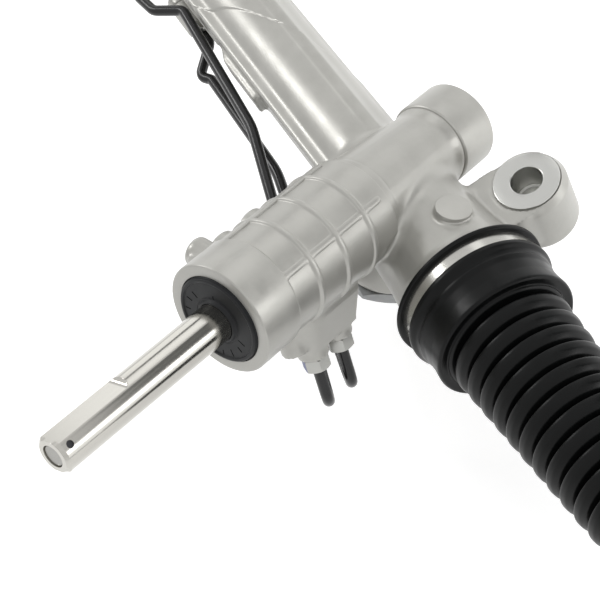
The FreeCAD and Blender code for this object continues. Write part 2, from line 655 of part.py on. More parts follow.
def mount_boss(centre_x, root_x):
    """Mounting boss with its machined ring, and the arm that joins it to the housing."""
    body_top = MOUNT_FACE_Z - MOUNT_RING_HEIGHT
    boss = Part.makeCylinder(MOUNT_BOSS_DIAMETER / 2, MOUNT_BOSS_LENGTH - MOUNT_RING_HEIGHT,
                             Vector(centre_x, MOUNT_Y, MOUNT_FACE_Z - MOUNT_BOSS_LENGTH))
    bottom = MOUNT_FACE_Z - MOUNT_BOSS_LENGTH
    boss = rounded_edges(boss, BOSS_EDGE_RADIUS, circle_at(bottom, MOUNT_BOSS_DIAMETER / 2))
    face = Part.makeCylinder(MOUNT_RING_DIAMETER / 2, MOUNT_RING_HEIGHT + OVERLAP,
                             Vector(centre_x, MOUNT_Y, body_top - OVERLAP))
    arm_points = [Vector(centre_x - ARM_HALF_WIDTH, MOUNT_Y, body_top),
                  Vector(centre_x + ARM_HALF_WIDTH, MOUNT_Y, body_top),
                  Vector(root_x + ARM_HALF_WIDTH, 0, body_top),
                  Vector(root_x - ARM_HALF_WIDTH, 0, body_top)]
    arm = Part.Face(Part.makePolygon(arm_points + arm_points[:1])).extrude(Vector(0, 0, -ARM_THICKNESS))
    return [boss, face, arm]


def mount_holes(centre_x):
    """Stepped bolt hole: a wide machined bore over the bolt's own clearance hole."""
    wide = Part.makeCylinder(MOUNT_BORE_DIAMETER / 2, MOUNT_BORE_DEPTH + OVERLAP,
                             Vector(centre_x, MOUNT_Y, MOUNT_FACE_Z - MOUNT_BORE_DEPTH))
    narrow = Part.makeCylinder(MOUNT_BOLT_DIAMETER / 2, MOUNT_BOSS_LENGTH + 2 * OVERLAP,
                               Vector(centre_x, MOUNT_Y, MOUNT_FACE_Z - MOUNT_BOSS_LENGTH - OVERLAP))
    return [wide, narrow]


def guide_tower():
    tower = Part.makeCylinder(GUIDE_TOWER_DIAMETER / 2, GUIDE_TOWER_LENGTH)
    tower = rounded_edges(tower, TOWER_EDGE_RADIUS, circle_at(GUIDE_TOWER_LENGTH, GUIDE_TOWER_DIAMETER / 2))
    return place(tower, GUIDE_FRAME)


def button():
    placement = frame(Vector(BUTTON_X, 0, 0), PINION_NORMAL, Vector(1, 0, 0))
    return rod(0, BUTTON_TOP, BUTTON_DIAMETER, placement)


def guide_bore():
    return rod(0, GUIDE_TOWER_LENGTH + OVERLAP, GUIDE_DIAMETER, GUIDE_FRAME)


def pinion_bore():
    """Bore for the valve, the bearings and the pinion, open at both ends."""
    profile = [(CAP_END_STATION - OVERLAP, BEARING_BORE_DIAMETER / 2),
               (UPPER_BEARING_STATION + UPPER_BEARING_WIDTH, BEARING_BORE_DIAMETER / 2),
               (VALVE_BORE_STATION, VALVE_BORE_DIAMETER / 2),
               (FRONT_STATION - SEAL_POCKET_DEPTH, VALVE_BORE_DIAMETER / 2),
               (FRONT_STATION - SEAL_POCKET_DEPTH, SEAL_POCKET_DIAMETER / 2),
               (FRONT_STATION + OVERLAP, SEAL_POCKET_DIAMETER / 2)]
    return turned(profile, PINION_FRAME)


def rack_bore():
    """Tunnel for the rack, the wider power cylinder and the bell for the socket."""
    tunnel = RACK_TUNNEL_DIAMETER / 2
    cylinder = CYLINDER_DIAMETER / 2
    profile = [(FAR_END_X - OVERLAP, cylinder),
               (CYLINDER_START_X + SEAL_WIDTH, cylinder),
               (CYLINDER_START_X + SEAL_WIDTH, tunnel),
               (BELL_FLOOR_X, tunnel),
               (BELL_FLOOR_X, BELL_DIAMETER / 2),
               (HOUSING_END_X + OVERLAP, BELL_DIAMETER / 2)]
    return turned(profile, RACK_FRAME)


def port_holes():
    """Drillings of the line ports, hose ports and tube ports."""
    holes = []
    root = VALVE_BORE_DIAMETER / 2 - OVERLAP
    thread_start = HOSE_PORT_REACH - HOSE_THREAD_DEPTH
    for station in LINE_PORT_STATIONS:
        holes.append(radial_rod(station, LINE_PORT_ANGLE, root, LINE_PORT_REACH + OVERLAP, PIPE_DIAMETER))
    for station in HOSE_PORT_STATIONS:
        holes.append(radial_rod(station, HOSE_PORT_ANGLE, root, thread_start + OVERLAP, PORT_DRILL_DIAMETER))
        holes.append(radial_rod(station, HOSE_PORT_ANGLE, thread_start, HOSE_PORT_REACH + OVERLAP,
                                2 * HOSE_THREAD_RADIUS))
    holes = [place(hole, PINION_FRAME) for hole in holes]
    for mouth_x in (NEAR_PORT_MOUTH_X, FAR_PORT_MOUTH_X):
        placement = frame(Vector(mouth_x, TUBE_PORT_Y, TUBE_PORT_Z), Vector(-1, 0, 0), Vector(0, 0, 1))
        holes.append(rod(-OVERLAP, PIPE_SINK + TUBE_PORT_DRILL, PIPE_DIAMETER, placement))
    return holes


def rack_housing():
    """The one-piece casting with all its bores."""
    local = [valve_housing(), long_rib()] + line_port_block() + hose_port_bosses() + side_lug()
    solids = [place(piece, PINION_FRAME) for piece in local]
    solids += tube() + [rack_barrel(), guide_tower(), button()]
    solids += tube_port(NEAR_PORT_MOUTH_X) + tube_port(FAR_PORT_MOUTH_X)
    solids += mount_boss(MOUNT_X, MOUNT_X - ARM_LEAN)
    solids += mount_boss(MOUNT_X - MOUNT_SPACING, MOUNT_X - MOUNT_SPACING)
    seat_start = FAR_END_X + FAR_SEAT_LENGTH
    solids.append(turned([(FAR_END_X, FAR_SEAT_DIAMETER / 2),
                          (seat_start, FAR_SEAT_DIAMETER / 2),
                          (seat_start, FAR_SEAT_DIAMETER / 2 + SEAT_RIDGE),
                          (seat_start + FAR_RIDGE_WIDTH, FAR_SEAT_DIAMETER / 2 + SEAT_RIDGE),
                          (seat_start + FAR_RIDGE_WIDTH + FAR_SEAT_FLARE, TUBE_DIAMETER / 2)], RACK_FRAME))
    casting = solids[0].multiFuse(solids[1:])
    cuts = [pinion_bore(), rack_bore(), guide_bore()] + port_holes()
    cuts += mount_holes(MOUNT_X) + mount_holes(MOUNT_X - MOUNT_SPACING)
    return casting.cut(cuts).removeSplitter()


# Rack and pinion teeth

def rack_tooth(thickness_change, tip, outer):
    """Outline of one straight rack tooth: X along the pitch line, Y from tip to outer."""
    slope = math.tan(math.radians(PRESSURE_ANGLE))
    half = math.pi * MODULE / 4 + thickness_change / 2
    narrow = half - tip * slope
    wide = half + outer * slope
    return [Vector(-narrow, tip, 0), Vector(-wide, -outer, 0),
            Vector(wide, -outer, 0), Vector(narrow, tip, 0)]


def pinion_gap():
    """Tool that cuts one pinion gap: a rack tooth rolled past the pinion's pitch circle."""
    tip = RACK_ADDENDUM + TOOTH_ROOT_CLEARANCE
    outline = rack_tooth(BACKLASH, tip, PINION_ADDENDUM + CUTTER_HEIGHT)
    faces = []
    half_roll = math.pi / PINION_TEETH * ROLL_SHARE
    for step in range(ROLL_STEPS):
        roll = half_roll * (2.0 * step / (ROLL_STEPS - 1) - 1.0)
        points = [Vector(PITCH_RADIUS - point.y, point.x + PITCH_RADIUS * roll, 0) for point in outline]
        face = Part.Face(Part.makePolygon(points + points[:1]))
        face.rotate(Vector(0, 0, 0), Vector(0, 0, 1), -math.degrees(roll))
        faces.append(face.extrude(Vector(0, 0, PINION_FACE_WIDTH + 2 * CUTTER_OVERRUN)))
    gap = faces[0].multiFuse(faces[1:]).removeSplitter()
    gap.translate(Vector(0, 0, -PINION_FACE_WIDTH / 2 - CUTTER_OVERRUN))
    return gap


def toothed_blank():
    """Pinion blank with a tooth centred on the rack."""
    outer = PITCH_RADIUS + PINION_ADDENDUM
    half = PINION_FACE_WIDTH / 2
    blank = turned([(-half, outer - PINION_CHAMFER), (-half + PINION_CHAMFER, outer),
                    (half - PINION_CHAMFER, outer), (half, outer - PINION_CHAMFER)])
    gap = pinion_gap()
    cuts = []
    for tooth in range(PINION_TEETH):
        copy = gap.copy()
        copy.rotate(Vector(0, 0, 0), Vector(0, 0, 1), 180.0 + 360.0 * (tooth + 0.5) / PINION_TEETH)
        cuts.append(copy)
    return blank.cut(cuts)


def pinion():
    """Pinion with its journals, its hub in the valve sleeve and the socket for the torsion bar."""
    journal = UPPER_JOURNAL_DIAMETER / 2
    lower = LOWER_JOURNAL_DIAMETER / 2
    half = PINION_FACE_WIDTH / 2
    root = PITCH_RADIUS - RACK_ADDENDUM - TOOTH_ROOT_CLEARANCE - PINION_ROOT_RELIEF
    nut_end = LOWER_BEARING_STATION - PINION_NUT_THICKNESS
    hub_end = SLEEVE_START_STATION + HUB_LENGTH
    collar = SLEEVE_DIAMETER / 2 - COLLAR_SET_BACK
    collar_start = SLEEVE_START_STATION - COLLAR_WIDTH
    hub = SLEEVE_DIAMETER / 2 - HUB_WALL
    shaft = turned([(nut_end, lower), (-half - LOWER_STEP, lower), (-half - LOWER_STEP, root), (half, root),
                    (half, journal), (collar_start, journal), (collar_start, collar),
                    (SLEEVE_START_STATION, collar), (SLEEVE_START_STATION, hub), (hub_end, hub)])
    socket = rod(UPPER_BEARING_STATION, hub_end + OVERLAP, TORSION_BAR_DIAMETER + 2 * TORSION_BAR_FIT)
    spool_room = rod(SLEEVE_START_STATION, hub_end + OVERLAP, SPOOL_DIAMETER + 2 * SPOOL_FIT)
    return place(shaft.fuse(toothed_blank()).cut([socket, spool_room]), PINION_FRAME)


def rack_grooves():
    """Tools for the rack's gaps, parallel to the leaning pinion."""
    tip = PINION_ADDENDUM + TOOTH_ROOT_CLEARANCE
    outline = rack_tooth(BACKLASH, tip, RACK_ADDENDUM + GROOVE_HEIGHT)
    reach = RACK_DIAMETER / math.cos(lean)
    pitch_along_rack = math.pi * MODULE / math.cos(lean)
    count = math.ceil((RACK_TRAVEL + TOOTH_END_MARGIN) / pitch_along_rack)
    centre = PINION_NORMAL * RACK_PITCH_HEIGHT
    tools = []
    for tooth in range(-count, count + 1):
        origin = centre + Vector(tooth * pitch_along_rack, 0, 0) - PINION_AXIS * reach
        placement = frame(origin, PINION_AXIS, PINION_SIDE)
        groove = Part.Face(Part.makePolygon(outline + outline[:1])).extrude(Vector(0, 0, 2 * reach))
        tools.append(place(groove, placement))
    return tools


def rack_flat():
    """Tool that takes the rack down to its tooth tips."""
    pitch_along_rack = math.pi * MODULE / math.cos(lean)
    count = math.ceil((RACK_TRAVEL + TOOTH_END_MARGIN) / pitch_along_rack)
    half_length = (count + 0.5) * pitch_along_rack
    flat = Part.makeBox(2 * half_length, RACK_DIAMETER, RACK_DIAMETER,
                        Vector(-half_length, -RACK_RADIUS, RACK_PITCH_HEIGHT + RACK_ADDENDUM))
    flat.rotate(Vector(0, 0, 0), Vector(1, 0, 0), -PINION_RISE)
    return flat


def rack_bar():
    """Toothed bar with a threaded bore in each end and a seat for the piston."""
    bar = rod(FAR_SOCKET_FACE_X, SOCKET_FACE_X, RACK_DIAMETER, RACK_FRAME)
    bores = []
    for face_x, outward in ((SOCKET_FACE_X, 1), (FAR_SOCKET_FACE_X, -1)):
        bores.append(rod(-SOCKET_STUD_LENGTH - SOCKET_BORE_CLEARANCE, OVERLAP, SOCKET_STUD_DIAMETER,
                         side_frame(face_x, outward)))
    return bar.cut([rack_flat()] + rack_grooves() + bores)


# Power cylinder

def piston():
    outer = CYLINDER_DIAMETER - 2 * PISTON_FIT
    body = ring(PISTON_X - PISTON_WIDTH / 2, PISTON_X + PISTON_WIDTH / 2, RACK_DIAMETER, outer)
    groove = ring(PISTON_X - PISTON_RING_WIDTH / 2, PISTON_X + PISTON_RING_WIDTH / 2,
                  outer - 2 * PISTON_RING_DEPTH, outer + 2 * OVERLAP)
    return place(body.cut(groove), RACK_FRAME)


def piston_ring():
    outer = CYLINDER_DIAMETER - 2 * PISTON_FIT
    return ring(PISTON_X - PISTON_RING_WIDTH / 2, PISTON_X + PISTON_RING_WIDTH / 2,
                outer - 2 * PISTON_RING_DEPTH, outer, RACK_FRAME)


def rack_seal(start):
    """Lip seal on the rack, in the cylinder's bore."""
    bore = RACK_DIAMETER + 2 * RACK_RUNNING_FIT
    return ring(start, start + SEAL_WIDTH, bore, CYLINDER_DIAMETER, RACK_FRAME)


def rack_bush():
    start = CYLINDER_END_X - SEAL_WIDTH - BUSH_WIDTH
    bore = RACK_DIAMETER + 2 * RACK_RUNNING_FIT
    return ring(start, start + BUSH_WIDTH, bore, CYLINDER_DIAMETER, RACK_FRAME)


def end_stop():
    """Screwed ring that closes the cylinder and stops the far socket."""
    start = FAR_END_X
    end = CYLINDER_END_X - SEAL_WIDTH - BUSH_WIDTH
    return ring(start, end, RACK_DIAMETER + 2 * END_STOP_RECESS, CYLINDER_DIAMETER, RACK_FRAME)


# Rack guide

def guide_body():
    """Yoke that presses the rack into the pinion, hollowed for its liner."""
    block = rod(0, RACK_RADIUS + GUIDE_LENGTH, GUIDE_DIAMETER - 2 * GUIDE_RUNNING_FIT, GUIDE_FRAME)
    bore = rod(-GUIDE_DIAMETER, GUIDE_DIAMETER, RACK_DIAMETER + 2 * LINER_THICKNESS + 2 * RACK_RUNNING_FIT,
               RACK_FRAME)
    top = place(Part.makeBox(2 * GUIDE_DIAMETER, 2 * GUIDE_DIAMETER, GUIDE_TOP_HEIGHT,
                             Vector(-GUIDE_DIAMETER, -GUIDE_DIAMETER, 0)), GUIDE_FRAME)
    pocket = rod(RACK_RADIUS + GUIDE_LENGTH - GUIDE_SPRING_SPACE / 2, RACK_RADIUS + GUIDE_LENGTH + OVERLAP,
                 SPRING_MEAN_DIAMETER + SPRING_WIRE + SPRING_POCKET_CLEARANCE, GUIDE_FRAME)
    return block.cut([bore, top, pocket])


def guide_liner():
    """Slippery shell between the yoke and the rack's back."""
    inner = RACK_DIAMETER + 2 * RACK_RUNNING_FIT
    shell = ring(-LINER_LENGTH / 2, LINER_LENGTH / 2, inner, inner + 2 * LINER_THICKNESS, RACK_FRAME)
    wedge_height = RACK_DIAMETER
    half = math.radians(LINER_ARC / 2)
    wedge_points = [Vector(0, 0, 0), Vector(0, -wedge_height * math.tan(half), wedge_height),
                    Vector(0, wedge_height * math.tan(half), wedge_height)]
    wedge = Part.Face(Part.makePolygon(wedge_points + wedge_points[:1]))
    wedge = wedge.extrude(Vector(2 * GUIDE_DIAMETER, 0, 0))
    wedge.translate(Vector(-GUIDE_DIAMETER, 0, 0))
    return shell.common(place(wedge, GUIDE_FRAME))


def guide_plug():
    """Screwed adjuster under the yoke's spring."""
    start = RACK_RADIUS + GUIDE_LENGTH + GUIDE_SPRING_SPACE / 2
    end = start + GUIDE_PLUG_LENGTH
    plug = rod(start, end, GUIDE_DIAMETER)
    socket = hexagon(PLUG_HEX_ACROSS_FLATS, end - PLUG_HEX_DEPTH, end + PLUG_HEX_DEPTH)
    return place(plug.cut(socket), GUIDE_FRAME)


def guide_lock_nut():
    nut = hexagon(LOCK_NUT_ACROSS_FLATS, GUIDE_TOWER_LENGTH, GUIDE_TOWER_LENGTH + LOCK_NUT_THICKNESS)
    return place(nut.cut(rod(0, 2 * GUIDE_TOWER_LENGTH, GUIDE_DIAMETER)), GUIDE_FRAME)


def guide_spring():
    """Coil spring from the floor of the yoke's pocket to the plug."""
    floor = RACK_RADIUS + GUIDE_LENGTH - GUIDE_SPRING_SPACE / 2
    height = GUIDE_SPRING_SPACE - SPRING_WIRE
    helix = Part.makeHelix(height / SPRING_TURNS, height, SPRING_MEAN_DIAMETER / 2)
    start = Vector(SPRING_MEAN_DIAMETER / 2, 0, 0)
    section = Part.Wire(Part.makeCircle(SPRING_WIRE / 2, start, Vector(0, 1, 0)))
    coil = Part.Wire(helix).makePipeShell([section], True, True)
    coil.translate(Vector(0, 0, floor + SPRING_WIRE / 2))
    return place(coil, GUIDE_FRAME)


# Pinion bearings, plug and nut

def bearing(start, width, bore, outer):
    """Ball bearing as its two rings, its balls' channel closed by shields."""
    body = ring(start, start + width, bore, outer)
    recess = (outer - bore) / 4 * BEARING_CHANNEL_SHARE
    middle = (outer + bore) / 2
    channels = [ring(start - OVERLAP, start + BEARING_CHANNEL_DEPTH, middle - recess, middle + recess),
                ring(start + width - BEARING_CHANNEL_DEPTH, start + width + OVERLAP,
                     middle - recess, middle + recess)]
    return place(body.cut(channels), PINION_FRAME)


def lower_bearing_carrier():
    return ring(LOWER_BEARING_STATION, LOWER_BEARING_STATION + LOWER_BEARING_WIDTH,
                LOWER_BEARING_DIAMETER, BEARING_BORE_DIAMETER, PINION_FRAME)


def pinion_end_plug():
    """Pressed cup that closes the casting's far end."""
    start = CAP_END_STATION + END_PLUG_SET_IN
    cup = rod(start, start + END_PLUG_DEPTH, BEARING_BORE_DIAMETER)
    hollow = rod(start + END_PLUG_THICKNESS / 2, start + END_PLUG_DEPTH + OVERLAP,
                 BEARING_BORE_DIAMETER - END_PLUG_THICKNESS)
    return place(cup.cut(hollow), PINION_FRAME)


def pinion_nut():
    start = LOWER_BEARING_STATION - PINION_NUT_THICKNESS
    end = LOWER_BEARING_STATION - PINION_NUT_GAP
    nut = hexagon(PINION_NUT_ACROSS_FLATS, start, end)
    return place(nut.cut(rod(start - OVERLAP, end + OVERLAP, LOWER_JOURNAL_DIAMETER)), PINION_FRAME)


# Rotary valve and input shaft

def ring_stations():
    """Start of each sleeve ring, evenly spaced about the sleeve's middle."""
    middle = (SLEEVE_START_STATION + SLEEVE_END_STATION) / 2
    first = middle - SLEEVE_RING_PITCH * (SLEEVE_RING_COUNT - 1) / 2 - SLEEVE_RING_WIDTH / 2
    return [first + SLEEVE_RING_PITCH * k for k in range(SLEEVE_RING_COUNT)]


def valve_sleeve():
    """Sleeve with its ring grooves and the oil holes between them."""
    bore = SPOOL_DIAMETER + 2 * SPOOL_FIT
    body = ring(SLEEVE_START_STATION, SLEEVE_END_STATION, bore, SLEEVE_DIAMETER)
    hub = rod(SLEEVE_START_STATION - OVERLAP, SLEEVE_START_STATION + HUB_LENGTH,
              SLEEVE_DIAMETER - 2 * HUB_WALL)
    cuts = [hub]
    for start in ring_stations():
        cuts.append(ring(start, start + SLEEVE_RING_WIDTH, SLEEVE_DIAMETER - 2 * SLEEVE_RING_DEPTH,
                         SLEEVE_DIAMETER + 2 * OVERLAP))
    for start in ring_stations()[1:]:
        hole_station = start - SLEEVE_RING_PITCH / 2
        for quarter in range(2):
            cuts.append(radial_rod(hole_station, 90.0 * quarter, -SLEEVE_DIAMETER, SLEEVE_DIAMETER,
                                   SLEEVE_HOLE_DIAMETER))
    return place(body.cut(cuts), PINION_FRAME)


def sleeve_rings():
    outer = VALVE_BORE_DIAMETER - 2 * SLEEVE_RING_FIT
    inner = SLEEVE_DIAMETER - 2 * SLEEVE_RING_DEPTH
    rings = [ring(start, start + SLEEVE_RING_WIDTH, inner, outer, PINION_FRAME) for start in ring_stations()]
    return Part.makeCompound(rings)


def pin_hole(start, end):
    return radial_rod(FRONT_STATION + PIN_FROM_FRONT, PIN_ANGLE, start, end, PIN_DIAMETER)


def input_shaft():
    """Steering-column end with two flats, hollow for the torsion bar; its inner end is the spool."""
    radius = SHAFT_DIAMETER / 2
    start = SLEEVE_START_STATION + SPOOL_SET_BACK
    spool = SPOOL_DIAMETER / 2
    shoulder = FRONT_STATION + SHOULDER_PAST_FRONT
    shaft = turned([(start, spool), (shoulder - SHOULDER_RUN, spool), (shoulder, radius),
                    (SHAFT_END_STATION - SHAFT_CHAMFER, radius),
                    (SHAFT_END_STATION, radius - SHAFT_CHAMFER)])
    bar_hole = rod(start - OVERLAP, SHAFT_END_STATION + OVERLAP,
                   TORSION_BAR_DIAMETER + 2 * TORSION_BAR_SEAT_FIT)
    cuts = [bar_hole, pin_hole(-SHAFT_DIAMETER, SHAFT_DIAMETER)]
    flat_start = SHAFT_END_STATION - FLAT_LENGTH
    for side in (0, 180):
        flat = flat_tool(flat_start)
        flat.rotate(Vector(0, 0, 0), Vector(0, 0, 1), FLAT_ANGLE + side)
        cuts.append(flat)
    return place(shaft.cut(cuts), PINION_FRAME)


def flat_tool(start):
    """Cutter for one flat, with a round run-out where the milling cutter leaves the shaft."""
    depth = SHAFT_DIAMETER / 2 - FLAT_DEPTH
    box = Part.makeBox(SHAFT_DIAMETER, 2 * SHAFT_DIAMETER, FLAT_LENGTH + OVERLAP,
                       Vector(depth, -SHAFT_DIAMETER, start))
    runout = Part.makeCylinder(FLAT_RUNOUT, 2 * SHAFT_DIAMETER,
                               Vector(depth + FLAT_RUNOUT, -SHAFT_DIAMETER, start), Vector(0, 1, 0))
    return box.fuse(runout)


def torsion_bar():
    """Thick at both ends, slim between, pinned in the input shaft."""
    thick = TORSION_BAR_DIAMETER / 2
    slim = TORSION_WAIST_DIAMETER / 2
    top = SHAFT_END_STATION - TORSION_BAR_SET_BACK
    foot = UPPER_BEARING_STATION + TORSION_FOOT_GAP
    foot_end = foot + TORSION_FOOT_LENGTH
    head = top - TORSION_HEAD_LENGTH
    bar = turned([(foot, thick), (foot_end, thick), (foot_end + TORSION_TAPER, slim),
                  (head - TORSION_TAPER, slim), (head, thick), (top - TORSION_CHAMFER, thick),
                  (top, thick - TORSION_CHAMFER)])
    return place(bar.cut(pin_hole(-thick - OVERLAP, thick + OVERLAP)), PINION_FRAME)


def torsion_pin():
    reach = SHAFT_DIAMETER / 2 - PIN_SET_BACK
    return place(pin_hole(-reach, reach), PINION_FRAME)


def input_shaft_seal():
    """Dust cover in the casting's front pocket, with its raised rim and collar."""
    base = FRONT_STATION - SEAL_RECESS - SEAL_THICKNESS
    face = FRONT_STATION - SEAL_RECESS
    bore = SPOOL_DIAMETER / 2 + SEAL_RUNNING_FIT
    pocket = SEAL_POCKET_DIAMETER / 2
    rim = SEAL_RIM_DIAMETER / 2
    collar = SEAL_BORE_COLLAR_DIAMETER / 2
    floor = face - SEAL_RIM_HEIGHT
    top = face + SEAL_COLLAR_HEIGHT
    profile = [(base, bore), (base, pocket), (face - SEAL_FLANK_HEIGHT, pocket), (floor, rim + SEAL_EASE),
               (face - SEAL_EASE, rim), (face, rim - SEAL_EASE), (face, rim - SEAL_RIM_WIDTH),
               (floor, rim - SEAL_RIM_WIDTH - SEAL_EASE), (floor, collar + SEAL_EASE), (top, collar),
               (top, bore + SEAL_EASE), (face - SEAL_EASE, bore), (base, bore)]
    return turned(profile, PINION_FRAME)


# Pipes

def line_port_frame(station):
    """Frame at a line port's face, Z out of the port."""
    direction = PINION_FRAME.Rotation.multVec(polar(0, LINE_PORT_ANGLE, 1))
    face = PINION_FRAME.multVec(polar(station, LINE_PORT_ANGLE, LINE_PORT_REACH))
    return frame(face, direction, PINION_AXIS)


def tube_port_frame(mouth_x):
    return frame(Vector(mouth_x, TUBE_PORT_Y, TUBE_PORT_Z), Vector(1, 0, 0), Vector(0, 0, 1))


def pipe_nut(placement):
    """Tube nut, screwed into its port up to the hexagon."""
    bore = rod(-OVERLAP, NUT_LENGTH + OVERLAP, PIPE_DIAMETER)
    return place(hexagon(NUT_ACROSS_FLATS, 0, NUT_LENGTH).cut(bore), placement)


def pipe_nuts():
    placements = [line_port_frame(station) for station in LINE_PORT_STATIONS]
    placements += [tube_port_frame(mouth_x) for mouth_x in (NEAR_PORT_MOUTH_X, FAR_PORT_MOUTH_X)]
    return Part.makeCompound([pipe_nut(placement) for placement in placements])


def transfer_pipe(station, mouth_x, inner_corners, radii):
    """From a line port, round under the valve housing and along the tube, to a port on the cylinder."""
    port = line_port_frame(station)
    mouth = tube_port_frame(mouth_x)
    corners = [port.multVec(Vector(0, 0, -PIPE_SINK)), port.multVec(Vector(0, 0, PIPE_DROP))]
    corners += [Vector(*corner) for corner in inner_corners]
    corners += [mouth.multVec(Vector(0, 0, PIPE_LEAD)), mouth.multVec(Vector(0, 0, -PIPE_SINK))]
    return swept(rounded_path(corners, (PIPE_RETURN_RADIUS,) + radii), PIPE_DIAMETER)


# Ball joints and tie rods

def socket_housing(placement):
    """Cup that screws into the rack's end and is rolled over the ball."""
    outer = SOCKET_DIAMETER / 2
    ball = BALL_DIAMETER / 2
    mouth = ball * SOCKET_MOUTH_SHARE
    waist = outer - SOCKET_STEP
    stud = rod(-SOCKET_STUD_LENGTH, OVERLAP, SOCKET_STUD_DIAMETER)
    cup = turned([(0, waist - SOCKET_CHAMFER), (SOCKET_CHAMFER, waist), (SOCKET_FLAT_LENGTH, waist),
                  (SOCKET_FLAT_LENGTH + SOCKET_STEP, outer), (SOCKET_LENGTH - SOCKET_NOSE_LENGTH, outer),
                  (SOCKET_LENGTH - SOCKET_MOUTH_WALL, mouth + SOCKET_STEP),
                  (SOCKET_LENGTH, mouth + SOCKET_MOUTH_WALL)])
    seat_outer = ball + BALL_FIT + SEAT_WALL
    hollow = Part.makeSphere(seat_outer, Vector(0, 0, BALL_FROM_FACE))
    opening = turned([(BALL_FROM_FACE, 0), (BALL_FROM_FACE, mouth - SOCKET_MOUTH_INSET),
                      (SOCKET_LENGTH + OVERLAP, mouth + SOCKET_MOUTH_FLARE), (SOCKET_LENGTH + OVERLAP, 0)])
    cuts = [hollow, opening]
    for side in (-1, 1):
        cuts.append(Part.makeBox(2 * outer, outer, SOCKET_FLAT_LENGTH + OVERLAP,
                                 Vector(-outer, side * SOCKET_FLAT_WIDTH / 2 - (side < 0) * outer,
                                        -OVERLAP / 2)))
    return place(stud.fuse(cup.cut(cuts)), placement)


def ball_seat():
    """Plastic cup between a ball and its socket, open towards the rod."""
    inner = BALL_DIAMETER / 2 + BALL_FIT
    shell = Part.makeSphere(inner + SEAT_WALL).cut(Part.makeSphere(inner))
    mouth = BALL_DIAMETER * SEAT_MOUTH_SHARE
    opening = Part.makeBox(BALL_DIAMETER * 2, BALL_DIAMETER * 2, BALL_DIAMETER,
                           Vector(-BALL_DIAMETER, -BALL_DIAMETER, mouth))
    return shell.cut(opening)


def tie_rod(placement):
    """Ball, neck, shank with its grip flats and the threaded end, from the ball's centre."""
    neck = TIE_ROD_NECK_DIAMETER / 2
    shank = TIE_ROD_DIAMETER / 2
    thread = TIE_ROD_THREAD_DIAMETER / 2
    thread_start = TIE_ROD_LENGTH - TIE_ROD_THREAD_LENGTH
    nut_start = TIE_ROD_LENGTH - JAM_NUT_FROM_END
    nut_end = nut_start + JAM_NUT_THICKNESS
    pitch = THREAD_PITCH_DIAMETER / 2
    bar = turned([(0, neck), (NECK_LENGTH, neck), (NECK_LENGTH + NECK_TAPER, shank),
                  (thread_start - THREAD_TAPER, shank),
                  (thread_start, thread), (nut_start, thread), (nut_start, pitch), (nut_end, pitch),
                  (nut_end, thread), (TIE_ROD_LENGTH - THREAD_CHAMFER, thread),
                  (TIE_ROD_LENGTH, thread - THREAD_CHAMFER)])
    rod_solid = Part.makeSphere(BALL_DIAMETER / 2).fuse(bar)
    grip = thread_start - GRIP_SET_BACK
    cuts = []
    for side in (-1, 1):
        cuts.append(Part.makeBox(TIE_ROD_DIAMETER * 2, TIE_ROD_DIAMETER, GRIP_LENGTH,
                                 Vector(-TIE_ROD_DIAMETER,
                                        side * GRIP_WIDTH / 2 - (side < 0) * TIE_ROD_DIAMETER, grip)))
    return place(rod_solid.cut(cuts), placement)


def jam_nut(placement):
    start = TIE_ROD_LENGTH - JAM_NUT_FROM_END
    nut = hexagon(JAM_NUT_ACROSS_FLATS, start, start + JAM_NUT_THICKNESS)
    bore = rod(start - OVERLAP, start + JAM_NUT_THICKNESS + OVERLAP, THREAD_PITCH_DIAMETER)
    return place(nut.cut(bore), placement)


# Bellows

def above_seat(seat_diameter, height):
    """Radius of a form on a bellows' cuff; heights shrink with a smaller seat."""
    return seat_diameter / 2 + height * seat_diameter / BOOT_SEAT_DIAMETER


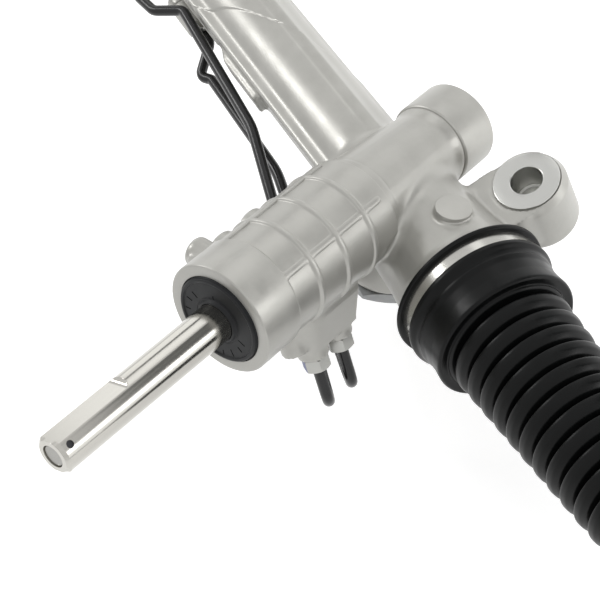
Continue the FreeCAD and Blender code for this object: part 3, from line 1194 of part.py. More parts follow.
def boot(seat_diameter, length, placement):
    """Bellows from its cuff on the housing (z = 0 at the lip) to its small end on the tie rod."""
    seat = seat_diameter / 2 + BOOT_SEAT_FIT
    lip = above_seat(seat_diameter, BOOT_LIP_HEIGHT)
    groove = above_seat(seat_diameter, BOOT_BAND_HEIGHT) - BAND_THICKNESS
    second = above_seat(seat_diameter, SECOND_LIP_HEIGHT)
    collar_waist = above_seat(seat_diameter, COLLAR_WAIST_HEIGHT)
    collar_edge = above_seat(seat_diameter, COLLAR_EDGE_HEIGHT)
    groove_end = BOOT_LIP_WIDTH + BAND_GROOVE_WIDTH
    second_end = groove_end + SECOND_LIP_WIDTH
    collar_end = second_end + COLLAR_LENGTH
    small = TIE_ROD_DIAMETER / 2 + BOOT_SEAT_FIT
    small_start = length - BOOT_SMALL_END_LENGTH
    outside = [(0, lip - BOOT_LIP_EDGE), (BOOT_LIP_EDGE, lip), (BOOT_LIP_WIDTH - BOOT_LIP_EDGE, lip),
               (BOOT_LIP_WIDTH, groove), (groove_end, groove), (groove_end + SECOND_LIP_EDGE, second),
               (second_end - SECOND_LIP_EDGE, second),
               (second_end + COLLAR_SHOULDER, collar_waist), (collar_end, collar_edge)]
    inside = [(0, seat), (second_end + SECOND_LIP_EDGE, seat), (collar_end, collar_edge - COLLAR_WALL)]
    pitch = (small_start - collar_end - FIRST_CREST_GAP) / CONVOLUTIONS
    for fold in range(CONVOLUTIONS):
        share = fold / (CONVOLUTIONS - 1)
        crest = (CREST_DIAMETER + (CREST_DIAMETER_END - CREST_DIAMETER) * share) / 2
        crest_station = collar_end + FIRST_CREST_GAP + pitch * fold
        root_station = crest_station - pitch / 2
        outside += [(root_station, crest - ROOT_DEPTH), (crest_station - CREST_FLAT / 2, crest),
                    (crest_station + CREST_FLAT / 2, crest)]
        inside += [(root_station, crest - ROOT_DEPTH - BOOT_WALL), (crest_station, crest - BOOT_WALL)]
    bead_start = length - BOOT_END_BEAD_WIDTH
    outside += [(small_start, small + BOOT_END_FLARE), (small_start + BOOT_END_FLARE, small + BOOT_END_WALL),
                (bead_start - BOOT_END_BEAD_RUN, small + BOOT_END_WALL),
                (bead_start, small + BOOT_END_BEAD), (length, small + BOOT_END_BEAD)]
    inside += [(small_start, small + BOOT_END_FLARE - BOOT_WALL),
               (small_start + BOOT_END_FLARE - BOOT_END_BEAD_RUN, small), (length, small)]
    return turned(outside + inside[::-1] + outside[:1], placement)


def boot_band(seat_diameter, placement):
    """Flat band clamp with its crimped ear."""
    groove = 2 * above_seat(seat_diameter, BOOT_BAND_HEIGHT) - 2 * BAND_THICKNESS
    start = BOOT_LIP_WIDTH + (BAND_GROOVE_WIDTH - BAND_WIDTH) / 2
    band = ring(start, start + BAND_WIDTH, groove, groove + 2 * BAND_THICKNESS)
    ear = Part.makeBox(BAND_EAR_HEIGHT + OVERLAP, BAND_EAR_WIDTH, BAND_WIDTH,
                       Vector((groove + BAND_THICKNESS) / 2, -BAND_EAR_WIDTH / 2, start))
    hollow = Part.makeBox(BAND_EAR_HEIGHT - BAND_EAR_WALL, BAND_EAR_WIDTH - 2 * BAND_EAR_WALL,
                          BAND_WIDTH + 2 * OVERLAP,
                          Vector(groove / 2 + BAND_THICKNESS + BAND_EAR_GAP,
                                 BAND_EAR_WALL - BAND_EAR_WIDTH / 2, start - OVERLAP))
    ear = ear.cut(hollow)
    ear.rotate(Vector(0, 0, 0), Vector(0, 0, 1), BAND_EAR_ANGLE)
    return place(band.fuse(ear), placement)


def boot_clip(length, placement):
    """Spring clip round the bellows' small end, with its two pinch tangs."""
    inner = TIE_ROD_DIAMETER + 2 * BOOT_SEAT_FIT + 2 * BOOT_END_WALL
    start = length - BOOT_END_BEAD_WIDTH - BOOT_END_BEAD_RUN - CLIP_GAP - CLIP_WIDTH
    clip = ring(start, start + CLIP_WIDTH, inner, inner + 2 * CLIP_THICKNESS)
    for side in (-1, 1):
        tang = Part.makeBox(TANG_REACH, CLIP_THICKNESS, CLIP_WIDTH,
                            Vector((inner + CLIP_THICKNESS) / 2,
                                   (side * TANG_SPACING - CLIP_THICKNESS) / 2, start))
        clip = clip.fuse(tang)
    return place(clip, placement)


def export(node, shape):
    """Writes one node, moved so that the origin is at the pinion-side mounting bore."""
    moved = shape.copy()
    moved.translate(-ORIGIN)
    moved.exportStep("parts/" + node + ".step")


def build():
    near = side_frame(HOUSING_END_X - BOOT_SEAT_LENGTH, 1)
    far = side_frame(FAR_END_X + FAR_SEAT_LENGTH, -1)
    near_length = BALL_X + BOOT_FROM_BALL - (HOUSING_END_X - BOOT_SEAT_LENGTH)
    far_length = FAR_END_X + FAR_SEAT_LENGTH - (FAR_BALL_X - BOOT_FROM_BALL)
    near_socket = side_frame(SOCKET_FACE_X, 1)
    far_socket = side_frame(FAR_SOCKET_FACE_X, -1)
    near_ball = side_frame(BALL_X, 1)
    far_ball = side_frame(FAR_BALL_X, -1)
    nodes = {
        "rack_housing": rack_housing(),
        "input_shaft_seal": input_shaft_seal(),
        "input_shaft_bearing": bearing(INPUT_BEARING_STATION, INPUT_BEARING_WIDTH,
                                       SPOOL_DIAMETER + 2 * JOURNAL_FIT, VALVE_BORE_DIAMETER),
        "pinion_upper_bearing": bearing(UPPER_BEARING_STATION, UPPER_BEARING_WIDTH,
                                        UPPER_JOURNAL_DIAMETER + 2 * JOURNAL_FIT, BEARING_BORE_DIAMETER),
        "pinion_lower_bearing": bearing(LOWER_BEARING_STATION, LOWER_BEARING_WIDTH,
                                        LOWER_JOURNAL_DIAMETER + 2 * JOURNAL_FIT, LOWER_BEARING_DIAMETER),
        "lower_bearing_carrier": lower_bearing_carrier(),
        "pinion_end_plug": pinion_end_plug(),
        "rack_guide": guide_body(),
        "guide_liner": guide_liner(),
        "guide_spring": guide_spring(),
        "guide_plug": guide_plug(),
        "guide_lock_nut": guide_lock_nut(),
        "inner_rack_seal": rack_seal(CYLINDER_START_X),
        "outer_rack_seal": rack_seal(CYLINDER_END_X - SEAL_WIDTH),
        "rack_bush": rack_bush(),
        "end_stop": end_stop(),
        "transfer_pipe_near": transfer_pipe(LINE_PORT_STATIONS[1], NEAR_PORT_MOUTH_X, NEAR_PIPE_CORNERS,
                                            NEAR_PIPE_RADII),
        "transfer_pipe_far": transfer_pipe(LINE_PORT_STATIONS[0], FAR_PORT_MOUTH_X, FAR_PIPE_CORNERS,
                                           FAR_PIPE_RADII),
        "pipe_nuts": pipe_nuts(),
        "boot_pinion_side": boot(BOOT_SEAT_DIAMETER, near_length, near),
        "boot_far_side": boot(FAR_SEAT_DIAMETER, far_length, far),
        "boot_band_pinion_side": boot_band(BOOT_SEAT_DIAMETER, near),
        "boot_band_far_side": boot_band(FAR_SEAT_DIAMETER, far),
        "rack_bar": rack_bar(),
        "piston": piston(),
        "piston_ring": piston_ring(),
        "socket_pinion_side": socket_housing(near_socket),
        "socket_far_side": socket_housing(far_socket),
        "ball_seats": Part.makeCompound([place(ball_seat(), near_ball), place(ball_seat(), far_ball)]),
        "pinion": pinion(),
        "pinion_nut": pinion_nut(),
        "valve_sleeve": valve_sleeve(),
        "sleeve_rings": sleeve_rings(),
        "input_shaft": input_shaft(),
        "torsion_bar": torsion_bar(),
        "torsion_pin": torsion_pin(),
        "boot_clip_pinion_side": boot_clip(near_length, near),
        "boot_clip_far_side": boot_clip(far_length, far),
        "tie_rod_pinion_side": tie_rod(near_ball),
        "tie_rod_far_side": tie_rod(far_ball),
        "jam_nut_pinion_side": jam_nut(near_ball),
        "jam_nut_far_side": jam_nut(far_ball),
    }
    os.makedirs("parts", exist_ok=True)
    for node, shape in nodes.items():
        if not shape.isValid():
            raise ValueError(node + " isn't a valid solid")
        export(node, shape)
        print(node, len(shape.Solids), round(shape.Volume))


build()
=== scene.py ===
"""Looks of a hydraulic steering rack: cast housing, bellows, pipes, shaft and a plain studio."""
import json
import math

import bmesh
import bpy
import numpy as np
from mathutils import Matrix, Vector


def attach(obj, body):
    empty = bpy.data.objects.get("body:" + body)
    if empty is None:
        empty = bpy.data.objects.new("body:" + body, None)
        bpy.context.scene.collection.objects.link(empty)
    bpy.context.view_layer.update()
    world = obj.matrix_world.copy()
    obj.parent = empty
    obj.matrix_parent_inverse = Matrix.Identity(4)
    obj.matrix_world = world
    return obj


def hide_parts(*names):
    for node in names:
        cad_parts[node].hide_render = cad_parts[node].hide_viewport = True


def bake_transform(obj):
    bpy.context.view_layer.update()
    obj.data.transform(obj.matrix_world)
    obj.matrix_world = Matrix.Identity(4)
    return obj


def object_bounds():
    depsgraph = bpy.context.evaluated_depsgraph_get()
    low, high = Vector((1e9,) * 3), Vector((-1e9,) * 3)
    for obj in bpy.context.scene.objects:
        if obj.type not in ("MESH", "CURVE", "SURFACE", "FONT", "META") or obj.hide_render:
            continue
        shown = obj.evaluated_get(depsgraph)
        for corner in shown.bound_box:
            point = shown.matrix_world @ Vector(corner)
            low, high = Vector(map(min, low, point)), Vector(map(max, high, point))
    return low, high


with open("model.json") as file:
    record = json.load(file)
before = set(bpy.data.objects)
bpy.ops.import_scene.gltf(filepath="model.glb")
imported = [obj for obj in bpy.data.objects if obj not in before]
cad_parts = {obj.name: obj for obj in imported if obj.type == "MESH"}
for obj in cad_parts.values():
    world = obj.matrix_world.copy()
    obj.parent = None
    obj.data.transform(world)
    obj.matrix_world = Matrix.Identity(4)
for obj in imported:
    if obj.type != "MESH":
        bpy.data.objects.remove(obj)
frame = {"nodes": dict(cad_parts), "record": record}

bl_info = {
    "name": "Steering rack looks",
    "version": (1, 0, 0),
    "blender": (4, 5, 0),
    "location": "View3D > Sidebar > Steering rack",
    "description": "Finishes the pieces of a hydraulic steering rack and sets a plain studio",
    "category": "Object",
}

CAD_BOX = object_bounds()
MM = 0.001
BODY_OF = {node: body for body, nodes in frame["record"]["behaviour"]["bodies"].items() for node in nodes}
SLOT_OF = {row["node"]: row["material_slot"] for row in frame["record"]["subparts"]}

# Rack frame in the part's frame: X along the rack, its axis through the bellows and the tube
RACK_PLACE = (-43.7, -52.6, -10.35)    # mm
RACK = Matrix.Translation(Vector(RACK_PLACE) * MM)
LEAN = math.radians(23.85)
RISE = math.radians(25.57)
PINION_HEIGHT = 18.5    # from the rack's axis to the pinion's, along PINION_NORMAL, in mm
PINION_AXIS = Vector((math.sin(LEAN), -math.cos(LEAN) * math.cos(RISE), math.cos(LEAN) * math.sin(RISE)))
PINION_NORMAL = Vector((0.0, math.sin(RISE), math.cos(RISE)))


def axis_frame(origin, x_axis, z_axis):
    """Matrix that puts local X on x_axis and local Z on z_axis, at origin."""
    y_axis = z_axis.cross(x_axis)
    turn = Matrix((x_axis, y_axis, z_axis)).transposed().to_4x4()
    return Matrix.Translation(origin) @ turn


# Pinion frame: X along the input shaft, stations in mm from the mesh
PINION = RACK @ axis_frame(PINION_NORMAL * PINION_HEIGHT * MM, PINION_AXIS, PINION_NORMAL)
MOUNT_CENTRES = {"pinion_side": Vector((0.0, 0.0, 0.0)), "far_side": Vector((-0.36, 0.0, 0.0))}

# Bellows, in mm along the rack
NEAR_CUFF_X, NEAR_END_X = 69.4, 244.5
FAR_CUFF_X, FAR_END_X = -370.4, -578.5
NEAR_SPLIT_X, FAR_SPLIT_X = 195.0, -519.0
FAR_CUFF_SHARE = 60.0 / 68.0    # far cuff's diameter over the near one's

FINISHES = {}    # one material for each slot, filled by the first operator


# Colours and nodes

def linear(colour):
    """Linear RGBA of an sRGB hex colour; a colour property is linear already."""
    if not isinstance(colour, str):
        return list(colour)
    channels = [int(colour[k:k + 2], 16) / 255 for k in (1, 3, 5)]
    return [c / 12.92 if c <= 0.04045 else ((c + 0.055) / 1.055) ** 2.4 for c in channels] + [1.0]


def add(material, kind, links=None, **settings):
    """Adds one node, sets its values and links its inputs from other nodes' outputs."""
    node = material.node_tree.nodes.new(kind)
    for key, value in settings.items():
        if key in node.inputs:
            node.inputs[key].default_value = value
        else:
            setattr(node, key, value)
    for socket, source in (links or {}).items():
        material.node_tree.links.new(source, node.inputs[socket])
    return node


def start_material(name, colour, metallic, roughness, gleam=0.5):
    """Material with its surface shader and object coordinates ready."""
    material = bpy.data.materials.new(name)
    material.use_nodes = True
    shader = material.node_tree.nodes["Principled BSDF"]
    shader.inputs["Base Color"].default_value = linear(colour)
    shader.inputs["Metallic"].default_value = metallic
    shader.inputs["Roughness"].default_value = roughness
    shader.inputs["Specular IOR Level"].default_value = gleam
    material.diffuse_color = linear(colour)
    place = add(material, "ShaderNodeTexCoord").outputs["Object"]
    return material, shader, place


def link(material, source, shader, socket):
    material.node_tree.links.new(source, shader.inputs[socket])


def shade_range(material, factor, dark, light, low=0.3, high=0.7):
    """Colour that runs from dark to light as a pattern goes from low to high."""
    ramp = add(material, "ShaderNodeValToRGB", {"Fac": factor})
    for stop, (position, code) in zip(ramp.color_ramp.elements, ((low, dark), (high, light))):
        stop.position = position
        stop.color = linear(code)
    return ramp.outputs["Color"]


def value_range(material, factor, low, high):
    return add(material, "ShaderNodeMapRange", {"Value": factor}, **{
        "From Min": 0.3, "From Max": 0.7, "To Min": low, "To Max": high}).outputs["Result"]


def grained(name, dark, light, metallic, roughness, grain_mm, depth_mm, patch_mm=14.0, spread=0.06,
            gleam=0.5):
    """Moulded, cast or coated surface: fine grain in relief, larger patches in tone and gloss."""
    material, shader, place = start_material(name, light, metallic, roughness, gleam)
    patches = add(material, "ShaderNodeTexNoise", {"Vector": place}, Scale=1000 / patch_mm, Detail=4.0,
                  Roughness=0.6).outputs["Fac"]
    link(material, shade_range(material, patches, dark, light), shader, "Base Color")
    gloss = value_range(material, patches, roughness - spread, roughness + spread)
    link(material, gloss, shader, "Roughness")
    grain = add(material, "ShaderNodeTexNoise", {"Vector": place}, Scale=1000 / grain_mm, Detail=3.0,
                Roughness=0.55).outputs["Fac"]
    bump = add(material, "ShaderNodeBump", {"Height": grain}, Strength=1.0, Distance=depth_mm * MM)
    link(material, bump.outputs["Normal"], shader, "Normal")
    return material


def streaked(name, dark, light, roughness, streak_mm, run_mm, depth_mm, turn):
    """Ground or drawn metal: fine streaks along local X of a turned frame."""
    material, shader, place = start_material(name, light, 1.0, roughness)
    local = add(material, "ShaderNodeMapping", {"Vector": place}, vector_type="TEXTURE",
                Rotation=turn.to_euler())
    stretched = add(material, "ShaderNodeMapping", {"Vector": local.outputs["Vector"]},
                    Scale=(1000 / run_mm, 1000 / streak_mm, 1000 / streak_mm))
    streaks = add(material, "ShaderNodeTexNoise", {"Vector": stretched.outputs["Vector"]}, Scale=1.0,
                  Detail=3.0, Roughness=0.6).outputs["Fac"]
    link(material, shade_range(material, streaks, dark, light), shader, "Base Color")
    link(material, value_range(material, streaks, roughness * 0.8, roughness * 1.25), shader, "Roughness")
    bump = add(material, "ShaderNodeBump", {"Height": streaks}, Strength=1.0, Distance=depth_mm * MM)
    link(material, bump.outputs["Normal"], shader, "Normal")
    return material


def lathed(name, dark, light, roughness, ring_mm, depth_mm, centres):
    """Face turned on a lathe: fine rings about upright axes through the centres."""
    material, shader, place = start_material(name, light, 1.0, roughness)
    nearest = None
    for centre in centres:
        local = add(material, "ShaderNodeMapping", {"Vector": place}, vector_type="TEXTURE", Location=centre)
        flat = add(material, "ShaderNodeVectorMath", {0: local.outputs["Vector"]}, operation="MULTIPLY")
        flat.inputs[1].default_value = (1.0, 1.0, 0.0)
        reach = add(material, "ShaderNodeVectorMath", {0: flat.outputs["Vector"]}, operation="LENGTH")
        if nearest is not None:
            reach = add(material, "ShaderNodeMath", {0: nearest, 1: reach.outputs["Value"]},
                        operation="MINIMUM")
        nearest = reach.outputs["Value"]
    phase = add(material, "ShaderNodeMath", {0: nearest}, operation="MULTIPLY")
    phase.inputs[1].default_value = math.tau * 1000 / ring_mm
    rings = add(material, "ShaderNodeMath", {0: phase.outputs["Value"]}, operation="SINE").outputs["Value"]
    wide = add(material, "ShaderNodeMapRange", {"Value": rings}, **{
        "From Min": -1.0, "From Max": 1.0}).outputs["Result"]
    link(material, shade_range(material, wide, dark, light, 0.0, 1.0), shader, "Base Color")
    bump = add(material, "ShaderNodeBump", {"Height": wide}, Strength=1.0, Distance=depth_mm * MM)
    link(material, bump.outputs["Normal"], shader, "Normal")
    return material


def make_materials(look):
    """One finish for each material slot of the record, and two for marks: blue paint and the painted shade of
    the seal's marks.
    """
    along_shaft = PINION.to_3x3()
    along_rack = Matrix.Identity(3)
    about = list(MOUNT_CENTRES.values())
    return {
        # Die-cast aluminium, shot-blasted: fine sand-like grain, broad soft patches of grey
        "cast_aluminium": grained("cast_aluminium_blasted", look.cast_dark, look.cast_light, 0.5, 0.36, 0.8,
                                  0.02),
        # Aluminium faced on a lathe: bright with close rings
        "machined_aluminium": lathed("aluminium_faced", "#A8A8A4", "#D2D2CF", 0.26, 0.5, 0.012, about),
        # Steel ground between centres: bright, streaks run along the shaft
        "ground_steel": streaked("steel_ground", look.shaft_dark, look.shaft_light, 0.16, 1.0, 200.0, 0.001,
                                 along_shaft),
        # Steel turned and ground: grey with fine streaks along the rack
        "machined_steel": streaked("steel_turned", "#9C9C9C", "#C2C2C2", 0.26, 0.5, 30.0, 0.003, along_rack),
        # Bearing steel, ground: a little bluer and finer
        "bearing_steel": streaked("steel_bearing_ground", "#AFAFB1", "#D0D0D2", 0.18, 0.4, 30.0, 0.002,
                                  along_shaft),
        # Zinc flake coat: matt grey with a fine grain
        "plug_steel": grained("steel_zinc_flake", "#8C8D8D", "#A2A3A3", 0.8, 0.5, 0.5, 0.01, 8.0),
        # Bright zinc plate on turned steel
        "plated_steel": grained("steel_zinc_plated", "#A3A39F", "#AEAEAA", 1.0, 0.3, 0.5, 0.004, 16.0, 0.04),
        # Stainless strip, cold rolled
        "band_steel": grained("stainless_strip", "#B2B1AC", "#BCBBB6", 1.0, 0.22, 0.6, 0.002, 24.0, 0.03),
        # Hardened spring steel: mid grey with fine streaks
        "spring_steel": streaked("steel_spring", "#8E8D89", "#9C9B97", 0.3, 0.5, 20.0, 0.003, along_shaft),
        # Manganese phosphate coat: dark, crystalline and matt
        "phosphated_steel": grained("steel_phosphated", "#262628", "#343437", 0.35, 0.55, 0.5, 0.012, 7.0),
        # Steel pipe with a black polyamide coat: glossy with faint waves
        "coated_pipe": grained("pipe_polyamide_coat", look.pipe_dark, look.pipe_light, 0.0, 0.24, 3.0, 0.02,
                               20.0, 0.05, 0.4),
        # Moulded thermoplastic elastomer: black satin, a faint bloom in patches
        "boot_rubber": grained("elastomer_moulded", look.rubber_dark, look.rubber_light, 0.0, 0.33, 0.5,
                               0.004, 9.0, 0.05, 0.16),
        # Moulded seal rubber: matt black
        "seal_rubber": grained("rubber_moulded", "#141516", "#1D1E20", 0.0, 0.5, 0.4, 0.01, 6.0, 0.06, 0.25),
        # Blue assembly paint, brushed on a nut's flats
        "marking_paint": grained("paint_blue", "#1E2C62", "#2A3A78", 0.0, 0.4, 0.8, 0.02, 3.0),
        # Painted shade: near-black rubber on the seal's moulded marks, standing in for the shadow inside
        # grooves
        "painted_groove_shade": grained("painted_groove_shade", "#040404", "#070707", 0.0, 0.8, 0.4, 0.01, 6.0, 0.05, 0.1),
        # Plastics: filled seal rings, natural ball seats, filled bush and bronze-filled liner
        "seal_plastic": grained("fluoropolymer_filled", "#463F35", "#554D40", 0.0, 0.45, 0.5, 0.006, 6.0),
        "seat_plastic": grained("acetal_natural", "#DAD8CF", "#ECEAE2", 0.0, 0.35, 0.8, 0.006, 10.0),
        "bush_plastic": grained("acetal_filled", "#3A3A3C", "#4A4A4C", 0.0, 0.4, 0.6, 0.006, 8.0),
        "liner_plastic": grained("fluoropolymer_bronze", "#5B4F3A", "#70634B", 0.1, 0.45, 0.5, 0.006, 5.0),
    }


# Meshes

def merged(node):
    """The node's mesh with its loose triangles joined."""
    bm = bmesh.new()
    bm.from_mesh(frame["nodes"][node].data)
    bmesh.ops.remove_doubles(bm, verts=bm.verts, dist=0.003 * MM)
    return bm


def finished(bm, name, material, sharp=32.0):
    """Object of a finished mesh, smooth but for edges sharper than the given angle."""
    limit = math.radians(sharp)
    for face in bm.faces:
        face.smooth = True
    for edge in bm.edges:
        edge.smooth = edge.calc_face_angle(math.pi) < limit
    mesh = bpy.data.meshes.new(name)
    bm.to_mesh(mesh)
    bm.free()
    mesh.materials.append(material)
    piece = bpy.data.objects.new(name, mesh)
    bpy.context.collection.objects.link(piece)
    return piece


def settle(piece, body, slot, *nodes):
    """Lets a piece ride on its body and hides the nodes that it stands for; slot is not used."""
    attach(piece, body)
    if nodes:
        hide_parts(*nodes)
    return piece


def smooth_copy(node, sharp=32.0):
    """Stands a smoothly shaded copy in for a CAD node."""
    slot = SLOT_OF[node]
    piece = finished(merged(node), node + "_finished", FINISHES[slot], sharp)
    return settle(piece, BODY_OF[node], slot, node)


def cut_square(bm, place, away):
    """Cuts off what lies beyond a plane and closes the cut."""
    cut = bmesh.ops.bisect_plane(bm, geom=bm.verts[:] + bm.edges[:] + bm.faces[:], dist=1e-7,
                                 plane_co=place, plane_no=away, clear_outer=True)
    rim = [item for item in cut["geom_cut"] if isinstance(item, bmesh.types.BMEdge)]
    bmesh.ops.triangle_fill(bm, use_beauty=True, edges=rim)


def spun(profile, steps, placement):
    """Solid of revolution about local X from its closed outline of (station, radius), in mm."""
    bm = bmesh.new()
    ring = [bm.verts.new((station * MM, 0.0, radius * MM)) for station, radius in profile]
    edges = [bm.edges.new(pair) for pair in zip(ring, ring[1:] + ring[:1])]
    bmesh.ops.spin(bm, geom=ring + edges, cent=(0, 0, 0), axis=(1, 0, 0), angle=math.tau, steps=steps,
                   use_merge=True)
    bmesh.ops.remove_doubles(bm, verts=bm.verts, dist=0.001 * MM)
    bmesh.ops.recalc_face_normals(bm, faces=bm.faces)
    bmesh.ops.transform(bm, matrix=placement, verts=bm.verts)
    return bm


def rounded(profile, radius, segments=4):
    """Outline with its corners cut by short arcs; each corner keeps to half its sides."""
    result = []
    count = len(profile)
    for k, corner in enumerate(profile):
        here = Vector(corner)
        before = Vector(profile[k - 1]) - here
        after = Vector(profile[(k + 1) % count]) - here
        reach = min(radius, before.length * 0.45, after.length * 0.45)
        first = here + before.normalized() * reach
        last = here + after.normalized() * reach
        for step in range(segments + 1):
            share = step / segments
            curve = first * (1 - share) ** 2 + here * 2 * share * (1 - share) + last * share ** 2
            result.append(tuple(curve))
    return result


# Casting

BUTTON = RACK @ axis_frame(Vector((47.8, 0, 0)) * MM, PINION_NORMAL, Vector((1, 0, 0)))
HOLLOW_LIMIT = 0.006 * MM
CAST_SPLIT_X = -216.0    # where the casting's two pieces meet, along the rack
TUBE_COARSER = 1.15      # tube end's mesh spacing over the pinion end's
BORE_SHARE = 0.8         # share of the triangles kept by the thinning
EASE_SHARE, FILL_SHARE = 0.5, 0.6

# Neck between barrel and valve housing: along the pinion, from its axis, and from the rack's axis
NECK_ALONG, NECK_AROUND, NECK_FROM_RACK = (-37.0, 60.0), (19.0, 40.0), 37.0
BUTTON_REACH, BUTTON_START = 12.5, 25.0

# The casting sinks by SKIN_DROP under the turned skins, and eases in over each of these ranges
SKIN_DROP = 0.7
BARREL_ALONG, BARREL_OUTER, BARREL_INNER = (31.0, 36.0), (28.4, 30.8), (23.6, 24.0)
CAP_ALONG, CAP_OUTER, CAP_INNER = (-25.4, -23.0), (22.7, 24.0), (19.0, 19.6)
FRONT_FACE, FRONT_INNER = (134.0, 134.6), (21.5, 22.0)
BACK_FACE, BACK_INNER = (-48.8, -48.2), (14.0, 14.6)
BUTTON_RISE, BUTTON_EDGE = (31.6, 32.6), (9.4, 10.4)

# Bores whose walls are thinned: frame, start, end and radius
BORES = ((PINION, -49, 123, 20.6), (RACK, -380, 83, 19.2), (RACK, 50, 83, 28.6))

# Mounting bosses about their centres, heights from the ring's face
BOSS_REACH, BOSS_BOTTOM = 30.0, -34.0
RING_REACH, RING_BOTTOM, RING_DROP = 17.0, -2.4, 1.35
FREE_START, FREE_RUN = 10.0, 8.0        # free edge of a boss, away from the rack
EDGE_RADIUS, EDGE_TAPER, EDGE_TOP, EDGE_BOTTOM = 16.9, 0.55, 1.3, -6.0
WIDE_BORE, NARROW_BORE, BORE_STEP = 8.6, 7.0, -15.4


def cast_half(keep_above, split_x, voxel, turn):
    """Mesh of half the casting, cut square to the rack at split_x and closed, remeshed evenly."""
    bm = merged("rack_housing")
    cut_square(bm, (split_x, 0, 0), (-1 if keep_above else 1, 0, 0))
    bmesh.ops.recalc_face_normals(bm, faces=bm.faces)
    bmesh.ops.transform(bm, matrix=turn.inverted(), verts=bm.verts)
    mesh = bpy.data.meshes.new("cast_blank")
    bm.to_mesh(mesh)
    bm.free()
    blank = bpy.data.objects.new("cast_blank", mesh)
    bpy.context.collection.objects.link(blank)
    remesh = blank.modifiers.new("even", "REMESH")
    remesh.mode = "VOXEL"
    remesh.voxel_size = voxel
    graph = bpy.context.evaluated_depsgraph_get()
    even = bpy.data.meshes.new_from_object(blank.evaluated_get(graph))
    bpy.data.objects.remove(blank)
    even.transform(turn)
    return even


def between(values, low, high):
    return (values > low) & (values < high)


def neighbour_middles(places, ends):
    """Middle of each vertex's neighbours."""
    count = len(places)
    first, second = ends.T
    links = np.bincount(first, minlength=count) + np.bincount(second, minlength=count)
    sums = [np.bincount(first, places[second, k], count) + np.bincount(second, places[first, k], count)
            for k in range(3)]
    return np.stack(sums, axis=1) / links[:, None]


def in_frame(places, turn):
    """Station along a frame's X and distance from it, in mm, of every place."""
    inverse = np.array(turn.inverted())
    local = (places @ inverse[:3, :3].T + inverse[:3, 3]) / MM
    return local[:, 0], np.hypot(local[:, 1], local[:, 2])


def soften(mesh, look):
    """Eases all edges a little, then lets only the hollow corners fill to cast fillets."""
    places = np.empty(len(mesh.vertices) * 3)
    mesh.vertices.foreach_get("co", places)
    places = places.reshape(-1, 3)
    ends = np.empty(len(mesh.edges) * 2, dtype=np.int32)
    mesh.edges.foreach_get("vertices", ends)
    ends = ends.reshape(-1, 2)
    for _ in range(look.ease_rounds):
        places += EASE_SHARE * (neighbour_middles(places, ends) - places)
    across, around = in_frame(places, PINION)
    _, from_rack = in_frame(places, RACK)
    at_neck = between(across, *NECK_ALONG) & between(around, *NECK_AROUND) & (from_rack < NECK_FROM_RACK)
    height, reach = in_frame(places, BUTTON)
    at_button = (reach < BUTTON_REACH) & (height > BUTTON_START)
    facing = np.empty(len(places) * 3)
    for turn in range(look.neck_rounds):
        mesh.vertices.foreach_set("co", places.ravel())
        mesh.update()
        mesh.vertex_normals.foreach_get("vector", facing)
        drift = neighbour_middles(places, ends) - places
        hollow = np.einsum("ij,ij->i", drift, facing.reshape(-1, 3)) > HOLLOW_LIMIT
        hollow &= at_neck | (turn < look.fillet_rounds)
        hollow &= ~at_button | (turn < look.fillet_rounds // 4)
        places[hollow] += FILL_SHARE * drift[hollow]
    mesh.vertices.foreach_set("co", sunk(places).ravel())
    mesh.update()


def eased(value, low, high):
    """0 below low, 1 above high, smooth between."""
    share = np.clip((value - low) / (high - low), 0.0, 1.0)
    return share * share * (3.0 - 2.0 * share)


def sunk(places):
    """Draws the casting back a little under the crisp turned skins that lie over it."""
    across, around = in_frame(places, PINION)
    inverse = np.array(PINION.inverted())
    local = places @ inverse[:3, :3].T + inverse[:3, 3]
    under_barrel = eased(across, *BARREL_ALONG) * (1 - eased(around, *BARREL_OUTER))
    under_barrel *= eased(around, *BARREL_INNER)
    under_cap = (1 - eased(across, *CAP_ALONG)) * (1 - eased(around, *CAP_OUTER)) * eased(around, *CAP_INNER)
    drop = SKIN_DROP * np.maximum(under_barrel, under_cap) * MM
    shrink = 1.0 - drop / np.maximum(around * MM, 1e-6)
    local[:, 1] *= shrink
    local[:, 2] *= shrink
    past_front = eased(across, *FRONT_FACE) * eased(around, *FRONT_INNER)
    before_end = (1 - eased(across, *BACK_FACE)) * eased(around, *BACK_INNER)
    local[:, 0] += (before_end - past_front) * SKIN_DROP * MM
    height, reach = in_frame(places, BUTTON)
    turn = np.array(PINION)
    result = local @ turn[:3, :3].T + turn[:3, 3]
    under_button = eased(height, *BUTTON_RISE) * (1 - eased(reach, *BUTTON_EDGE))
    result -= under_button[:, None] * SKIN_DROP * MM * np.array(BUTTON.to_3x3())[:, 0]
    return result


def thin_inside(bm, share):
    """Thins the mesh on the walls of the bores, which hardly show, and leaves the outer skin."""
    weights = bm.verts.layers.deform.verify()
    for turn, start, end, radius in BORES:
        inverse = turn.inverted()
        for vert in bm.verts:
            local = inverse @ vert.co
            if start * MM < local.x < end * MM and local.yz.length < radius * MM:
                vert[weights][0] = 1.0
    mesh = bpy.data.meshes.new("cast_even")
    bm.to_mesh(mesh)
    bm.free()
    even = bpy.data.objects.new("cast_even", mesh)
    even.vertex_groups.new(name="bores")
    bpy.context.collection.objects.link(even)
    fewer = even.modifiers.new("fewer", "DECIMATE")
    fewer.ratio = share
    fewer.vertex_group = "bores"
    graph = bpy.context.evaluated_depsgraph_get()
    bm = bmesh.new()
    bm.from_mesh(even.evaluated_get(graph).to_mesh())
    bpy.data.objects.remove(even)
    return bm


